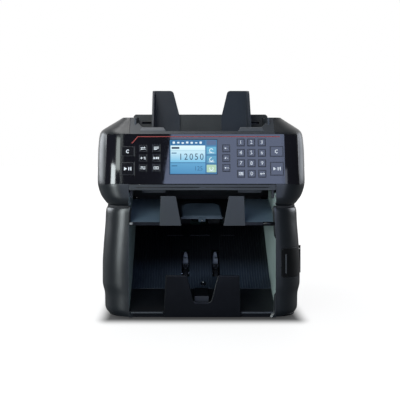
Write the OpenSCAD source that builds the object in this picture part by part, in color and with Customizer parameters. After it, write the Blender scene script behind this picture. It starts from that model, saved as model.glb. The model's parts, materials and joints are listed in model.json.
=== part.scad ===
// Banknote counting machine with two pockets: a hopper on top, a reject pocket
// in the middle and a stacker pocket below. +X is the operator's right, +Y runs
// to the back and +Z is up. The origin is on the table, under the middle of the
// machine. The head (cheeks, fascia, hopper and keys) tilts up on a rear hinge.

/* [Overall] */
// Width over the cheeks of the head
head_w = 314; // [300:1:380]
// Depth from the front of the head to its back
body_d = 290; // [285:1:350]
// Height of the head's crest above the table
crest_z = 297; // [292:1:360]
// Top of the lower covers, where the head parts from the body
neck_z = 162; // [160:1:166]
// Shadow gap between the lower covers and the head
parting_gap = 4.6; // [4:0.1:7]
// Clear width of both pockets between the side frames
pocket_w = 215.4; // [212:0.2:220]
// Height of the rubber feet
foot_h = 3; // [3:0.5:6]

/* [Head shell] */
// Wall thickness of the head's covers
head_wall = 3; // [2:0.2:3.6]
// Plan radius of the head's front corners
head_corner_r = 36; // [30:1:36]
// Plan radius of the head's rear corners
head_rear_r = 30; // [20:1:34]
// Lean of the front face of the head
face_tilt = 10; // [8:0.5:12]
// How far the neck and the chin are drawn in under the head
neck_in = 12; // [10:0.5:13]
// Height of the drawn-in band at the bottom of the head
chin_h = 10; // [8:1:12]
// How far the chin is drawn in at the front and the back
chin_in = 6; // [5:0.5:7]
// Distance of the crest's ends from the sides of the head
crest_in = 37; // [34:1:40]
// Height from the head's bottom edge to the fascia
fascia_rise = 32; // [27:0.2:34]
// Drop from the crest to the top of the fascia
fascia_drop = 25.3; // [24:0.1:27]
// Distance of the crest behind the front of the head
crest_back = 37; // [35:1:39]
// Gap along the seams of neighbouring covers
seam_gap = 0.3; // [0.2:0.05:0.4]

/* [Fascia, display and keys] */
// Thickness of the fascia panel
fascia_t = 3; // [2.4:0.2:3.6]
// Width of the fascia, measured straight across
fascia_w = 286; // [280:1:290]
// Clearance round every key
key_gap = 0.25; // [0.2:0.05:0.4]
// Travel of every key
key_travel = 0.8; // [0.5:0.1:1]
// How far a key stands proud of the fascia
key_proud = 0.5; // [0.2:0.1:1]
// Side of a small square key
key_s = 10.5; // [9:0.1:12.2]
// Pitch of the number keys, both ways
pad_pitch = 15.5; // [15:0.1:16]
// Centre of the number pad's middle column
pad_x = 72.2; // [71:0.1:74]
// Height of the number pad's bottom row up the fascia
pad_z = 15.1; // [14.5:0.1:16]
// Pitch of the rows of function keys
fn_pitch = 14.6; // [14.4:0.1:15]
// Height of the bottom row of function keys up the fascia
fn_z = 23.6; // [22:0.1:25]
// Centres of the two columns of function keys on the left
fn_x = [-87.1, -67.7];
// Centre of the column of keys beside the display
soft_x = 35.3; // [35:0.1:37]
// Distance of the clear and start keys from the middle
side_key_x = 109.4; // [109:0.1:109.6]
// Width of the clear and start keys
side_key_w = 19; // [16:0.5:19.5]
// Height of a clear key
clear_h = 15; // [12:0.5:17]
// Height of a start key
start_h = 19.5; // [16:0.5:22]
// Height of the start keys' centres up the fascia
start_z = 22.4; // [21:0.1:24]
// Height of the clear keys' centres up the fascia
clear_z = 48.1; // [46:0.1:50]
// Width of the display window
display_w = 70; // [60:1:72]
// Height of the display window
display_h = 52; // [40:1:53]
// Centre of the display window, across and up the fascia
display_at = [-13.1, 40];

/* [Hopper] */
// Lean of the hopper plate
hopper_recline = 25; // [20:1:28]
// Slope of the hopper floor, which falls towards the plate
hopper_slope = 16; // [12:1:18]
// Drop from the crest to the foot of the hopper plate
hopper_foot_drop = 41; // [40:0.5:42]
// Distance of the plate's foot behind the front of the head
hopper_foot_back = 85; // [84:0.5:88]
// Half the width of the hopper between its side walls
bay_hw = 98.5; // [98:0.1:100]
// Distance of the hopper's front wall behind the front of the head
bay_front = 29; // [28:0.5:32]
// Height of the hopper plate, measured up its face
plate_h = 53.5; // [53:0.5:58]
// Thickness of the hopper plate
plate_t = 2.5; // [2:0.1:3]
// Height of a note guide, measured up the plate
guide_h = 94.9; // [80:0.5:110]
// Outer edge of a note guide, from the middle
guide_out = 76; // [74:0.5:77]
// Reach of a guide's flange at its top
flange_top = 34; // [20:1:36]
// Reach of a guide's flange at its foot
flange_foot = 44; // [30:1:46]
// Thickness of a guide's blade and flange
guide_t = 2.8; // [2.2:0.1:3.2]
// Travel of a guide outwards
guide_out_travel = 20; // [10:1:21]
// Travel of a guide inwards
guide_in_travel = 14; // [5:1:15]
// Height of the guide slot up the plate
slot_z = 38.5; // [36:0.5:39]
// Height of the guide slot
slot_h = 4; // [3.5:0.1:4.5]
// Teeth of the guide pinion
pinion_teeth = 12; // [12:1:12]
// Gear module of the pinion and racks
gear_module = 1; // [0.8:0.05:1]
// Radius of the feed rollers
feed_r = 18; // [17:0.5:19]
// How far the feed rollers stand through the hopper floor
feed_poke = 2; // [1.5:0.1:2.5]

/* [Lower body] */
// How much narrower each side of the body is than the head
belly_in = 7; // [6.5:0.5:9]
// Wall thickness of the lower covers
cover_wall = 2.5; // [2:0.1:3]
// Plan radius of the body's front corners
body_corner_r = 38; // [34:1:40]
// Plan radius of the body's rear corners
body_rear_r = 28; // [20:1:30]
// Distance of the body's front behind the head's front
body_set_back = 5; // [4:0.5:6]
// Height where the plinth steps in
plinth_z = 36; // [30:1:42]
// Thickness of the base pan
pan_t = 2.5; // [2:0.1:3]
// Height of the base pan's front lip above the table
lip_z = 10; // [9:0.5:11]
// Thickness of a side frame
frame_t = 3; // [2.5:0.1:3.2]
// Radius of the tie bars between the frames
tie_r = 4; // [3:0.5:5]

/* [Stacker pocket] */
// Depth of the pocket's floor
floor_run = 51; // [45:1:55]
// Rise of the pocket's floor to the back
floor_rise = 24.3; // [22:0.1:26]
// Length of the back plate's lower bend, and its slope
bend_run = [28, 31.5];
// Length of the back plate's main face, and its slope
back_run = [113, 39.8];
// Thickness of the pocket's plates
sheet_t = 2.5; // [2:0.1:3]
// Outer radius of the stacker wheels
wheel_r = 36; // [28:1:37]
// Width of a stacker wheel
wheel_w = 9; // [7:0.5:11]
// Distance of the stacker wheels from the middle
wheel_x = 24; // [18:1:30]
// How far the wheels' fingers stand above the back plate
wheel_poke = 10; // [8:0.5:11]
// Distance of the wheels' middle up the back plate's main face
wheel_up = 28; // [28:0.5:32]
// Number of fingers on a wheel
finger_count = 12; // [8:1:14]
// Height of the front stop above the table
stop_z = 64.5; // [55:0.5:75]
// Half widths of the front stop, at its base and top
stop_hw = [57, 54];
// Half widths of the front stop's notch, at its bottom and top
notch_hw = [11, 22.5];
// Height of the bottom of the notch
notch_z = 24.5; // [20:0.5:30]
// Thickness of the front stop and the reject stops
stop_t = 2.5; // [2:0.1:2.7]

/* [Reject pocket] */
// Height of the top of the reject tray's lip
tray_z = 142.5; // [141:0.5:143.5]
// Height of the tray's lip
tray_lip_h = 4.7; // [4:0.1:6]
// Run and rise of the tray's floor
tray_run = [86, 27.5];
// Half widths of a reject stop: inner and outer at its foot, inner and outer at its top
ear_hw = [31, 62.5, 39, 61];
// Height of the top of the reject stops
ear_z = 180.5; // [170:0.5:182]
// Half width of the tray's tongue
tongue_hw = 29; // [24:1:30]

/* [Transport] */
// Radius of the transport drum's rollers
drum_r = 28; // [22:1:28]
// Radius of the drum's shaft
drum_shaft_r = 4; // [3:0.5:5]
// Radius of the lighter shafts and hinge pins
shaft_r = 3; // [2:0.1:3.6]
// Radial clearance of every running fit
run_gap = 0.05; // [0.03:0.01:0.08]
// Radii of the belt pulleys: drum, motor and wheels
pulley_r = [14, 8, 14];
// Width of the drive belt
belt_w = 5; // [4:0.5:6]
// Thickness of the drive belt
belt_t = 1.5; // [1:0.1:2]

/* [Rear and ports] */
// Centre of the power inlet, across and up
inlet_at = [-88, 45];
// Centre of the power switch, across and up
switch_at = [-55, 45];
// Swing of the rocker between off and on
rocker_swing = 14; // [8:1:16]
// Bottom and top of the port door
door_z = [61, 103.4];
// Inner edge of the port door, from the middle
door_x = 119; // [117:0.5:121]
// Depth of the port door along the side
door_run = 44; // [40:1:46]
// Gap round the port door
door_gap = 0.5; // [0.3:0.1:0.8]

/* [Hidden] */
$fn = 48;
corner_n = 8;
eps = 0.01;
// Gap that tells two seated solids of one node apart.
seat_gap = 0.1;
far = 400;

half_head = head_w / 2;
half_body = half_head - belly_in;
half_pocket = pocket_w / 2;
front_y = -body_d / 2;
back_y = body_d / 2;
body_front = front_y + body_set_back;
body_back = back_y - 3;
head_z = neck_z + parting_gap;
neck_hw = half_head - neck_in;
crest_hw = half_head - crest_in;
fascia_z0 = head_z + fascia_rise;
fascia_z1 = crest_z - fascia_drop;
fascia_l = (fascia_z1 - fascia_z0) / cos(face_tilt);
fascia_top_y = front_y + (fascia_z1 - fascia_z0) * tan(face_tilt);
crest_y = front_y + crest_back;
deck_hw = half_pocket - seam_gap;
cheek_x = half_pocket + 0.1;

// Hinge of the head, at the top of the side frames.
hinge_y = back_y - 13;
hinge_z = head_z + 10;
hinge_pin_r = shaft_r;
hinge_lug_r = 8;
frame_in = half_pocket;
frame_out = half_pocket + frame_t;
frame_top = head_z + 18;

// Locating pins at the front of the frames and the forks that drop over them.
locate_y = front_y + 21;
locate_z = head_z + 13;
locate_r = 2;
fork_gap = 0.5;

// Head pan under the fascia.
head_pan_t = 2.5;
head_pan_z = fascia_z0 - 6.6;
head_pan_back = front_y + 105;

// Hopper.
foot_y = front_y + hopper_foot_back;
foot_z = crest_z - hopper_foot_drop;
bay_y = front_y + bay_front;
rim_low = crest_z - 21;
rim_high = crest_z - 16;
hood_y = foot_y + 35;
liner_t = 2.5;
plate_gap = 0.5;
rack_y = plate_t + plate_gap;
rack_t = 3.4;
pitch_r = gear_module * pinion_teeth / 2;
rack_back = 4.5;
hood_wall = 2;
hood_z = foot_z + (slot_z + pitch_r + rack_back) * cos(hopper_recline) + hood_wall + 0.1;
stem_hw = [guide_out - 17, guide_out - 4];
feed_s = 16;
feed_y = foot_y - feed_s * cos(hopper_slope) - (feed_r - feed_poke) * sin(hopper_slope);
feed_z = foot_z + feed_s * sin(hopper_slope) - (feed_r - feed_poke) * cos(hopper_slope);
feed_x = 32;
feed_w = 16;
feed_rib_x = 62;
feed_rib_t = 3;
feed_motor_r = feed_r - feed_poke - liner_t - 0.5;

// Fascia parts behind the panel.
key_flange = 1;
flange_y = fascia_t + 0.3;
board_y = flange_y + key_flange + key_travel + 1.4;
board_t = 1.6;
lcd_margin = 4;

// Base and stacker pocket.
base_z = foot_h;
plinth_in = 4;
pan_top = base_z + pan_t;
lip_t = 2.8;
floor_y0 = body_front + lip_t + 0.2;
floor_z0 = lip_z + 0.5;
floor_y1 = floor_y0 + floor_run;
floor_z1 = floor_z0 + floor_rise;
bend_y1 = floor_y1 + 0.3 + bend_run[0] * cos(bend_run[1]);
bend_z1 = floor_z1 + bend_run[0] * sin(bend_run[1]);
back_y1 = bend_y1 + back_run[0] * cos(back_run[1]);
back_z1 = bend_z1 + back_run[0] * sin(back_run[1]);
wheel_depth = wheel_r - wheel_poke;
wheel_y = bend_y1 + wheel_up * cos(back_run[1]) + wheel_depth * sin(back_run[1]);
wheel_z = bend_z1 + wheel_up * sin(back_run[1]) - wheel_depth * cos(back_run[1]);
wheel_gap = 1.5;
hub_r = 9;

// Transport.
drum_y = body_front + 212;
drum_z = 128;
motor_y = body_front + 200;
motor_z = 48;
motor_r = 20;
motor_l = 50;
motor_shaft_r = 2.5;
gate_y = drum_y - 39;
gate_z = drum_z + 18;
gate_r = 2.5;
gate_reach = 24;
belt_x = frame_out + 3.3;
belt_gap = 0.3;
tie_bars = [[back_y - 27, neck_z - 8], [back_y - 33, 20], [wheel_y + 44, 14]];

// Rear cover.
rear_t = 2.5;
rear_hw = half_body - body_rear_r - seam_gap;
screw_r = 1.5;
screw_head_r = 3.2;
rear_screws = [for (x = [-1, 1], z = [20, 82, neck_z - 14]) [x * (rear_hw - 8), z]];
louver_n = 9;
inlet_hole = [28, 20];
rocker_w = 13;
rocker_hw = 9;
bezel_t = 2;
rocker_y = body_back - 5;

// Port door.
door_y1 = body_front + door_run;
door_axis = [half_body + 0.3, door_y1 + door_gap / 2];
knuckle_r = 1.5;
door_pin_r = 0.8;

key_rows = [0, 1, 2];
keys = concat(
    [["key_clear_left", -side_key_x, clear_z, side_key_w, clear_h],
     ["key_start_left", -side_key_x, start_z, side_key_w, start_h],
     ["key_clear_right", side_key_x, clear_z, side_key_w, clear_h],
     ["key_start_right", side_key_x, start_z, side_key_w, start_h]],
    [for (c = [0, 1], r = key_rows)
        [str("key_fn_", 2 * r + c + 1), fn_x[c], fn_z + (2 - r) * fn_pitch, key_s, key_s]],
    [for (r = key_rows) [str("key_soft_", r + 1), soft_x, fn_z + (2 - r) * fn_pitch, key_s, key_s]],
    [for (c = key_rows, r = key_rows)
        [str("key_", 3 * r + c + 1), pad_x + (c - 1) * pad_pitch, pad_z + (3 - r) * pad_pitch, key_s, key_s]],
    [["key_menu", pad_x - pad_pitch, pad_z, key_s, key_s],
     ["key_0", pad_x, pad_z, key_s, key_s],
     ["key_alt", pad_x + pad_pitch, pad_z, key_s, key_s]]);

// ---- Outlines ----

function arc(c, r, a0, a1, n = corner_n) =
    [for (i = [0 : n]) c + r * [cos(a0 + (a1 - a0) * i / n), sin(a0 + (a1 - a0) * i / n)]];

// Rounded rectangle seen from above, with its own radii at the front and the back.
function plan(hw, y0, y1, rf, rb) = concat(
    arc([-hw + rf, y0 + rf], rf, 180, 270),
    arc([hw - rf, y0 + rf], rf, 270, 360),
    arc([hw - rb, y1 - rb], rb, 0, 90),
    arc([-hw + rb, y1 - rb], rb, 90, 180));

function unit(v) = v / norm(v);

// An outline that runs anticlockwise, moved in by d on every side.
function inset(p, d) = [
    for (i = [0 : len(p) - 1])
        let (
            u = unit(p[i] - p[(i + len(p) - 1) % len(p)]),
            v = unit(p[(i + 1) % len(p)] - p[i]),
            a = [-u[1], u[0]],
            b = [-v[1], v[0]]
        )
        p[i] + (a + b) * d / (1 + a * b)
];

function both_sides(p) = concat(p, [for (i = [len(p) - 1 : -1 : 0]) [-p[i][0], p[i][1]]]);

// Side view of the head, as [y, z].
head_side = [
    [front_y + chin_in, head_z],
    [back_y - chin_in, head_z],
    [back_y, head_z + chin_h],
    [back_y, crest_z - 47],
    [back_y - 7, crest_z - 29],
    [back_y - 50, crest_z],
    [crest_y, crest_z],
    [fascia_top_y, fascia_z1],
    [front_y, fascia_z0],
    [front_y, head_z + chin_h]
];

// Front view of the head, right half from the bottom up, as [x, z].
head_front = both_sides([
    [neck_hw, head_z],
    [half_head, head_z + 13],
    [half_head, crest_z - 45],
    [half_head - 1.5, crest_z - 18],
    [crest_hw, crest_z]
]);

// Front view of the lower body, right half from the bottom up.
body_front_view = both_sides([
    [half_body - 8, base_z],
    [half_body - plinth_in, base_z + 8],
    [half_body - plinth_in + 0.5, plinth_z],
    [half_body, plinth_z + 10],
    [half_body, 82],
    [half_body - 2, 112],
    [half_body - 4.5, 142],
    [half_body - 5, neck_z]
]);

// The hopper rim's top edge, right half: low in the middle, then a ledge and an S up to the crest.
rim_line = concat(
    [[54, rim_low], [59, rim_high], [86, rim_high]],
    [for (i = [1 : 6]) [86 + 19 * i / 6, rim_high + (crest_z - rim_high) * (1 - cos(180 * i / 6)) / 2]]);
rim_edge = concat([for (i = [len(rim_line) - 1 : -1 : 0]) [-rim_line[i][0], rim_line[i][1]]], rim_line);

// ---- Shape helpers ----

// A [y, z] outline, swept across x from x0 to x1.
module across(x0, x1) {
    translate([x0, 0, 0]) rotate([90, 0, 90]) linear_extrude(x1 - x0) children();
}

// An [x, z] outline, swept back from y0 to y1.
module back_from(y0, y1) {
    translate([0, y1, 0]) rotate([90, 0, 0]) linear_extrude(y1 - y0) children();
}

module block(lo, hi) {
    translate(lo) cube(hi - lo);
}

module rod(x0, x1, y, z, r) {
    translate([x0, y, z]) rotate([0, 90, 0]) cylinder(r = r, h = x1 - x0);
}

// Front face of the head: x across, y into the head and z up the face.
module face_frame() {
    translate([0, front_y, fascia_z0]) rotate([-face_tilt, 0, 0]) children();
}

// Hopper plate: x across, y behind the plate and z up the plate.
module plate_frame() {
    translate([0, foot_y, foot_z]) rotate([-hopper_recline, 0, 0]) children();
}

// A sheet that follows a [y, z] line on its top side.
module sheet(x0, x1, line, t) {
    across(x0, x1) polygon(concat(line, [for (i = [len(line) - 1 : -1 : 0]) line[i] - [0, t]]));
}

// ---- Head shell ----

module head_solid(d) {
    intersection() {
        translate([0, 0, head_z - 1]) linear_extrude(crest_z - head_z + 2)
            polygon(plan(half_head - d, front_y + d, back_y - d, head_corner_r - d, head_rear_r - d));
        face_frame() translate([0, 0, -far / 2]) linear_extrude(far)
            polygon(plan(half_head - d, d, 2 * far, head_corner_r - d, head_rear_r - d));
        across(-far / 2, far / 2) polygon(inset(head_side, d));
        back_from(-far, far) polygon(inset(head_front, d));
    }
}

module head_hollow() {
    head_solid(head_wall);
    translate([0, 0, head_z - 1]) linear_extrude(head_wall + 4)
        polygon(plan(neck_hw - head_wall, front_y + chin_in + head_wall, back_y - chin_in - head_wall,
            head_corner_r - head_wall - 6, head_rear_r - head_wall - 6));
}

// The band of the front face that the fascia fills, to a given depth and with room round it.
module fascia_band(depth, room, hw) {
    face_frame() intersection() {
        difference() {
            translate([0, 0, -room]) linear_extrude(fascia_l + 2 * room)
                polygon(plan(half_head + room, -room, 2 * far, head_corner_r + room, head_rear_r));
            translate([0, 0, -room - 1]) linear_extrude(fascia_l + 2 * room + 2)
                polygon(plan(half_head - depth, depth, 3 * far, head_corner_r - depth, head_rear_r));
        }
        block([-hw, -10, -far], [hw, head_corner_r, far]);
    }
}

// Right-hand cheek; the left one is its mirror image.
module cheek() {
    difference() {
        intersection() {
            head_solid(0);
            block([cheek_x, -far, 0], [far, far, far]);
        }
        head_hollow();
        fascia_band(head_wall + seam_gap + 0.2, seam_gap, fascia_w / 2 + seam_gap);
        block([cheek_x - 1, hinge_y - 14, head_z - 1], [frame_out + 0.8, back_y + 1, hinge_z + 15]);
    }
}

module cheek_left() {
    color("#2b2e33") mirror([1, 0, 0]) cheek();
}

module cheek_right() {
    color("#26282d") cheek();
}

// Everything above the rim's top edge, as [x, z].
module above_rim() {
    polygon(concat(rim_edge, [[105, crest_z + 5], [-105, crest_z + 5]]));
}

// A skin of the liner's thickness under the rim's top edge, as [x, z].
module rim_skin() {
    polygon(concat(rim_edge, [for (i = [len(rim_edge) - 1 : -1 : 0]) rim_edge[i] - [0, liner_t]]));
}

// Height of the hopper floor's top face at a given y.
function hopper_floor_z(y) = foot_z + (foot_y - y) * tan(hopper_slope);

module hopper_deck() {
    hinge_x = frame_in - 2.3;
    color("#2b2e33") {
        deck_skin();
        rim_top();
        bay_walls();
        bay_floor();
        rack_hood();
        // Ribs that carry the feed shaft.
        for (s = [-1, 1])
            difference() {
                across(s * feed_rib_x - feed_rib_t / 2, s * feed_rib_x + feed_rib_t / 2)
                    polygon([[feed_y - 10, feed_z - 8], [feed_y + 10, feed_z - 8],
                        [feed_y + 10, hopper_floor_z(feed_y + 10) - 1], [feed_y - 10, hopper_floor_z(feed_y - 10) - 1]]);
                rod(s * feed_rib_x - 3, s * feed_rib_x + 3, feed_y, feed_z, shaft_r + run_gap);
            }
        // Hinge lugs on the back wall.
        for (s = [-1, 1])
            difference() {
                union() {
                    rod(s * hinge_x - 1.5, s * hinge_x + 1.5, hinge_y, hinge_z, hinge_lug_r);
                    translate([s * hinge_x, 0, 0])
                        block([-1.5, hinge_y, hinge_z - 5], [1.5, back_y - head_wall / 2, hinge_z + 40]);
                }
                rod(s * hinge_x - 3, s * hinge_x + 3, hinge_y, hinge_z, hinge_pin_r + run_gap);
            }
    }
}

module below_rim_front() {
    face_frame() block([-far, -10, -far / 2], [far, 16, fascia_l + seam_gap]);
}

// Outer skin of the deck, open over the hopper.
module deck_skin() {
    difference() {
        intersection() {
            head_solid(0);
            block([-deck_hw, -far, 0], [deck_hw, far, far]);
        }
        head_hollow();
        below_rim_front();
        back_from(-far, bay_y) above_rim();
        block([-bay_hw, bay_y - liner_t / 2, foot_z], [bay_hw, hood_y, far]);
    }
}

module rim_top() {
    difference() {
        intersection() {
            head_solid(0.1);
            back_from(front_y, bay_y) rim_skin();
        }
        below_rim_front();
    }
}

module bay_walls() {
    low_z = foot_z - 4;
    difference() {
        union() {
            block([-bay_hw - liner_t, bay_y - liner_t, low_z], [bay_hw + liner_t, bay_y, rim_high]);
            for (s = [-1, 1])
                translate([s * (bay_hw + liner_t / 2), 0, 0])
                    block([-liner_t / 2, bay_y - liner_t, low_z], [liner_t / 2, hood_y, crest_z - 1]);
        }
        back_from(front_y, bay_y + 1) above_rim();
    }
}

module bay_floor() {
    y0 = bay_y - liner_t / 2;
    y1 = foot_y + 6;
    difference() {
        sheet(-bay_hw - 1, bay_hw + 1, [[y0, hopper_floor_z(y0)], [y1, hopper_floor_z(y1)]], liner_t);
        for (s = [-1, 1])
            translate([s * feed_x, feed_y, 0])
                block([-feed_w / 2 - 1, -feed_r, foot_z - 10], [feed_w / 2 + 1, feed_r, foot_z + 30]);
    }
}

// Hood over the guide racks, behind the hopper plate.
module rack_hood() {
    difference() {
        block([-bay_hw - liner_t, foot_y + 10, foot_z + 8], [bay_hw + liner_t, hood_y + liner_t, hood_z]);
        block([-bay_hw, foot_y - 10, foot_z], [bay_hw, hood_y, hood_z - hood_wall]);
        plate_frame() block([-far, -60, -20], [far, plate_t + plate_gap, 90]);
    }
}

module fascia() {
    color("#0d0e12") difference() {
        fascia_band(fascia_t, 0, fascia_w / 2);
        face_frame() {
            for (k = keys)
                translate([k[1], 0, k[2]])
                    cube([k[3] + 2 * key_gap, 3 * fascia_t, k[4] + 2 * key_gap], center = true);
            translate([display_at[0], 0, display_at[1]]) cube([display_w, 3 * fascia_t, display_h], center = true);
        }
    }
}

module display() {
    glass_gap = 0.2;
    color("#3f8fc4") face_frame() translate([display_at[0], 0, display_at[1]]) {
        block([-display_w / 2 + glass_gap, glass_gap, -display_h / 2 + glass_gap],
            [display_w / 2 - glass_gap, flange_y, display_h / 2 - glass_gap]);
        block([-display_w / 2 - lcd_margin, flange_y - eps, -display_h / 2 - lcd_margin],
            [display_w / 2 + lcd_margin, board_y + eps, display_h / 2 + lcd_margin]);
    }
    color("#1f5a38") face_frame()
        block([-side_key_x - 8, board_y, 3], [side_key_x + 8, board_y + board_t, fascia_l - 3]);
}

// One sprung key: cap, retaining flange and plunger.
module key(k) {
    color("#17181d") face_frame() translate([k[1], 0, k[2]]) {
        block([-k[3] / 2, -key_proud, -k[4] / 2], [k[3] / 2, flange_y + eps, k[4] / 2]);
        block([-k[3] / 2 - key_flange, flange_y, -k[4] / 2 - key_flange],
            [k[3] / 2 + key_flange, flange_y + key_flange, k[4] / 2 + key_flange]);
        block([-1.5, flange_y + key_flange - eps, -1.5], [1.5, board_y - key_travel - 0.4, 1.5]);
    }
}

module head_pan() {
    pan_hw = half_pocket - 0.5;
    lip_top = fascia_z0 - seam_gap - 4 * sin(face_tilt);
    color("#33363b") {
        // Floor of the head and its front lip.
        block([-pan_hw, front_y + 3.2, head_pan_z - head_pan_t], [pan_hw, head_pan_back, head_pan_z]);
        difference() {
            block([-pan_hw, front_y + 0.8, head_pan_z - head_pan_t], [pan_hw, front_y + 3.8, lip_top]);
            for (s = [-1, 1])
                translate([s * 51, front_y, head_pan_z + 1.2]) cube([94, 3, 0.9], center = true);
        }
        // Paper deflectors.
        for (s = [-1, 1])
            translate([s * 72.5, 0, 0])
                block([-17.5, front_y + 38, head_pan_z - 8.5], [17.5, front_y + 41.5, head_pan_z - head_pan_t + eps]);
        // Forks over the locating pins.
        for (s = [-1, 1], t = [-1, 1])
            translate([s * (frame_in - 2.6), locate_y + t * (locate_r + fork_gap + 1.2), 0])
                block([-1.4, -1.2, locate_z - 3], [1.4, 1.2, head_pan_z - head_pan_t + eps]);
    }
}

// ---- Hopper ----

module hopper_plate() {
    wide_z = (crest_z + 1 - foot_z) / cos(hopper_recline) + plate_t * tan(hopper_recline);
    slot_in = stem_hw[0] - guide_in_travel - 1.5;
    slot_out = stem_hw[1] + guide_out_travel + 1.5;
    color("#2a2d33") plate_frame() {
        difference() {
            back_from(0, plate_t) polygon(both_sides([
                [bay_hw - 0.3, 0.8],
                [bay_hw - 0.3, wide_z],
                [half_pocket - 0.7, wide_z],
                [half_pocket - 0.7, plate_h - 3],
                [half_pocket - 3.7, plate_h]]));
            for (s = [-1, 1])
                translate([s * (slot_in + slot_out) / 2, plate_t / 2, slot_z])
                    cube([slot_out - slot_in, 2 * plate_t, slot_h], center = true);
        }
        translate([0, plate_t - eps, slot_z]) rotate([-90, 0, 0])
            cylinder(r = 2, h = plate_gap + rack_t + 2);
    }
}

// Teeth of a rack that point down, in [x, z], with the pitch line at z = 0 and a tooth at x = 0.
module rack_teeth(x0, x1) {
    pitch = PI * gear_module;
    top = 1.1 * gear_module;
    tip = 0.8 * gear_module;
    half = pitch / 4 - 0.12;
    for (i = [ceil(x0 / pitch) : floor(x1 / pitch)])
        translate([i * pitch, 0])
            polygon([[-half - top * tan(20), top], [-half + tip * tan(20), -tip],
                [half - tip * tan(20), -tip], [half + top * tan(20), top]]);
}

// Right-hand guide with its stem, and a rack above (up = 1) or below (up = -1) the pinion.
module guide(up) {
    rack_end = -(guide_out_travel + 2.5 * pitch_r);
    blade_foot = 2;
    level = tan(hopper_recline);
    plate_frame() {
        // Blade in front of the plate.
        difference() {
            translate([0, -plate_gap - guide_t, 0]) back_from(0, guide_t) polygon(concat(
                [[guide_out, blade_foot], [guide_out, guide_h]],
                arc([guide_out - 27, guide_h - 6], 6, 90, 165, 5),
                [[guide_out - 43, 47.4], [guide_out - 43, blade_foot]]));
        }
        // Flange that reaches forward along the end of the notes.
        translate([guide_out - guide_t, -plate_gap - guide_t, 0]) across(0, guide_t) polygon([
            [eps, blade_foot], [eps, guide_h], [5 - flange_top, guide_h - 3 - (flange_top - 5) * level],
            [-flange_top, guide_h - flange_top * level - 9], [-flange_foot, 0], [4 - flange_foot, blade_foot - 5]]);
        // Stem through the slot.
        block([stem_hw[0], -plate_gap - eps, slot_z - slot_h / 2 + 0.3],
            [stem_hw[1], rack_y + rack_t, slot_z + slot_h / 2 - 0.3]);
        // Riser and rack behind the plate.
        translate([0, 0, slot_z]) {
            mirror([0, 0, up > 0 ? 0 : 1]) {
                block([stem_hw[0], rack_y, 0], [stem_hw[1], rack_y + rack_t, pitch_r + rack_back]);
                block([rack_end, rack_y, pitch_r + gear_module], [stem_hw[0] + eps, rack_y + rack_t, pitch_r + rack_back]);
                translate([0, rack_y, pitch_r]) back_from(0, rack_t)
                    rack_teeth(rack_end, guide_in_travel + pitch_r * 3);
            }
        }
    }
}

module guide_left() {
    color("#2f343a") mirror([1, 0, 0]) guide(1);
}

module guide_right() {
    color("#2c3038") guide(-1);
}

// One involute tooth flank, as points from the root to the tip.
function flank(m, teeth, side) = let (
        r = m * teeth / 2,
        rb = r * cos(20),
        half = 90 / teeth + (tan(20) * 180 / PI - 20) - 4.2 / teeth
    ) [for (i = [0 : 4]) let (
            rr = max(rb, r - 1.15 * m) + (r + 0.8 * m - max(rb, r - 1.15 * m)) * i / 4,
            a = acos(min(1, rb / rr)),
            turn = half - (tan(a) * 180 / PI - a)
        ) rr * [sin(side * turn), cos(turn)]];

module guide_pinion() {
    root_r = pitch_r - 1.2 * gear_module;
    color("#c9c6bb") plate_frame() translate([0, rack_y, slot_z]) difference() {
        union() {
            rotate([-90, 0, 0]) cylinder(r = root_r, h = rack_t);
            for (i = [0 : pinion_teeth - 1])
                rotate([0, 360 / pinion_teeth * (i + 0.5), 0]) back_from(0, rack_t)
                    polygon(concat([[-0.6, 3]], flank(gear_module, pinion_teeth, -1),
                        [for (j = [4 : -1 : 0]) flank(gear_module, pinion_teeth, 1)[j]], [[0.6, 3]]));
        }
        translate([0, -1, 0]) rotate([-90, 0, 0]) cylinder(r = 2 + run_gap, h = rack_t + 2);
    }
}

module feed_rollers() {
    color("#3b3b3d") {
        rod(-feed_rib_x - 4, feed_rib_x + feed_rib_t / 2 + 26, feed_y, feed_z, shaft_r);
        for (s = [-1, 1])
            rod(s * feed_x - feed_w / 2, s * feed_x + feed_w / 2, feed_y, feed_z, feed_r);
    }
}

module feed_motor() {
    x0 = feed_rib_x + feed_rib_t / 2;
    color("#8d9095") difference() {
        rod(x0, x0 + 30, feed_y, feed_z, feed_motor_r);
        rod(x0 - 1, x0 + 27, feed_y, feed_z, shaft_r + run_gap);
    }
}

// ---- Lower body ----

module body_solid(d) {
    intersection() {
        translate([0, 0, base_z - 1]) linear_extrude(neck_z - base_z + 2)
            polygon(plan(half_body - d, body_front + d, body_back - d, body_corner_r - d, body_rear_r - d));
        back_from(-far, far) polygon(inset(body_front_view, d));
    }
}

module cover_hollow() {
    body_solid(cover_wall);
    translate([0, 0, base_z - 1]) linear_extrude(cover_wall + 3)
        polygon(plan(half_body - 8 - cover_wall, body_front + cover_wall, body_back - cover_wall,
            body_corner_r - cover_wall - 4, body_rear_r - cover_wall - 4));
}

// Upright collar on top of a cover, which closes the shadow gap under the head.
module collar() {
    collar_in = 19;
    collar_t = 2;
    intersection() {
        translate([0, 0, neck_z - cover_wall / 2]) linear_extrude(parting_gap + 8) difference() {
            polygon(plan(half_head - collar_in, front_y + collar_in, far, head_corner_r - 8, head_rear_r));
            polygon(plan(half_head - collar_in - collar_t, front_y + collar_in + collar_t, 2 * far,
                head_corner_r - 8 - collar_t, head_rear_r));
        }
        block([frame_out + 0.7, -far, 0], [far, hinge_y - 20, far]);
    }
}

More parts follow.
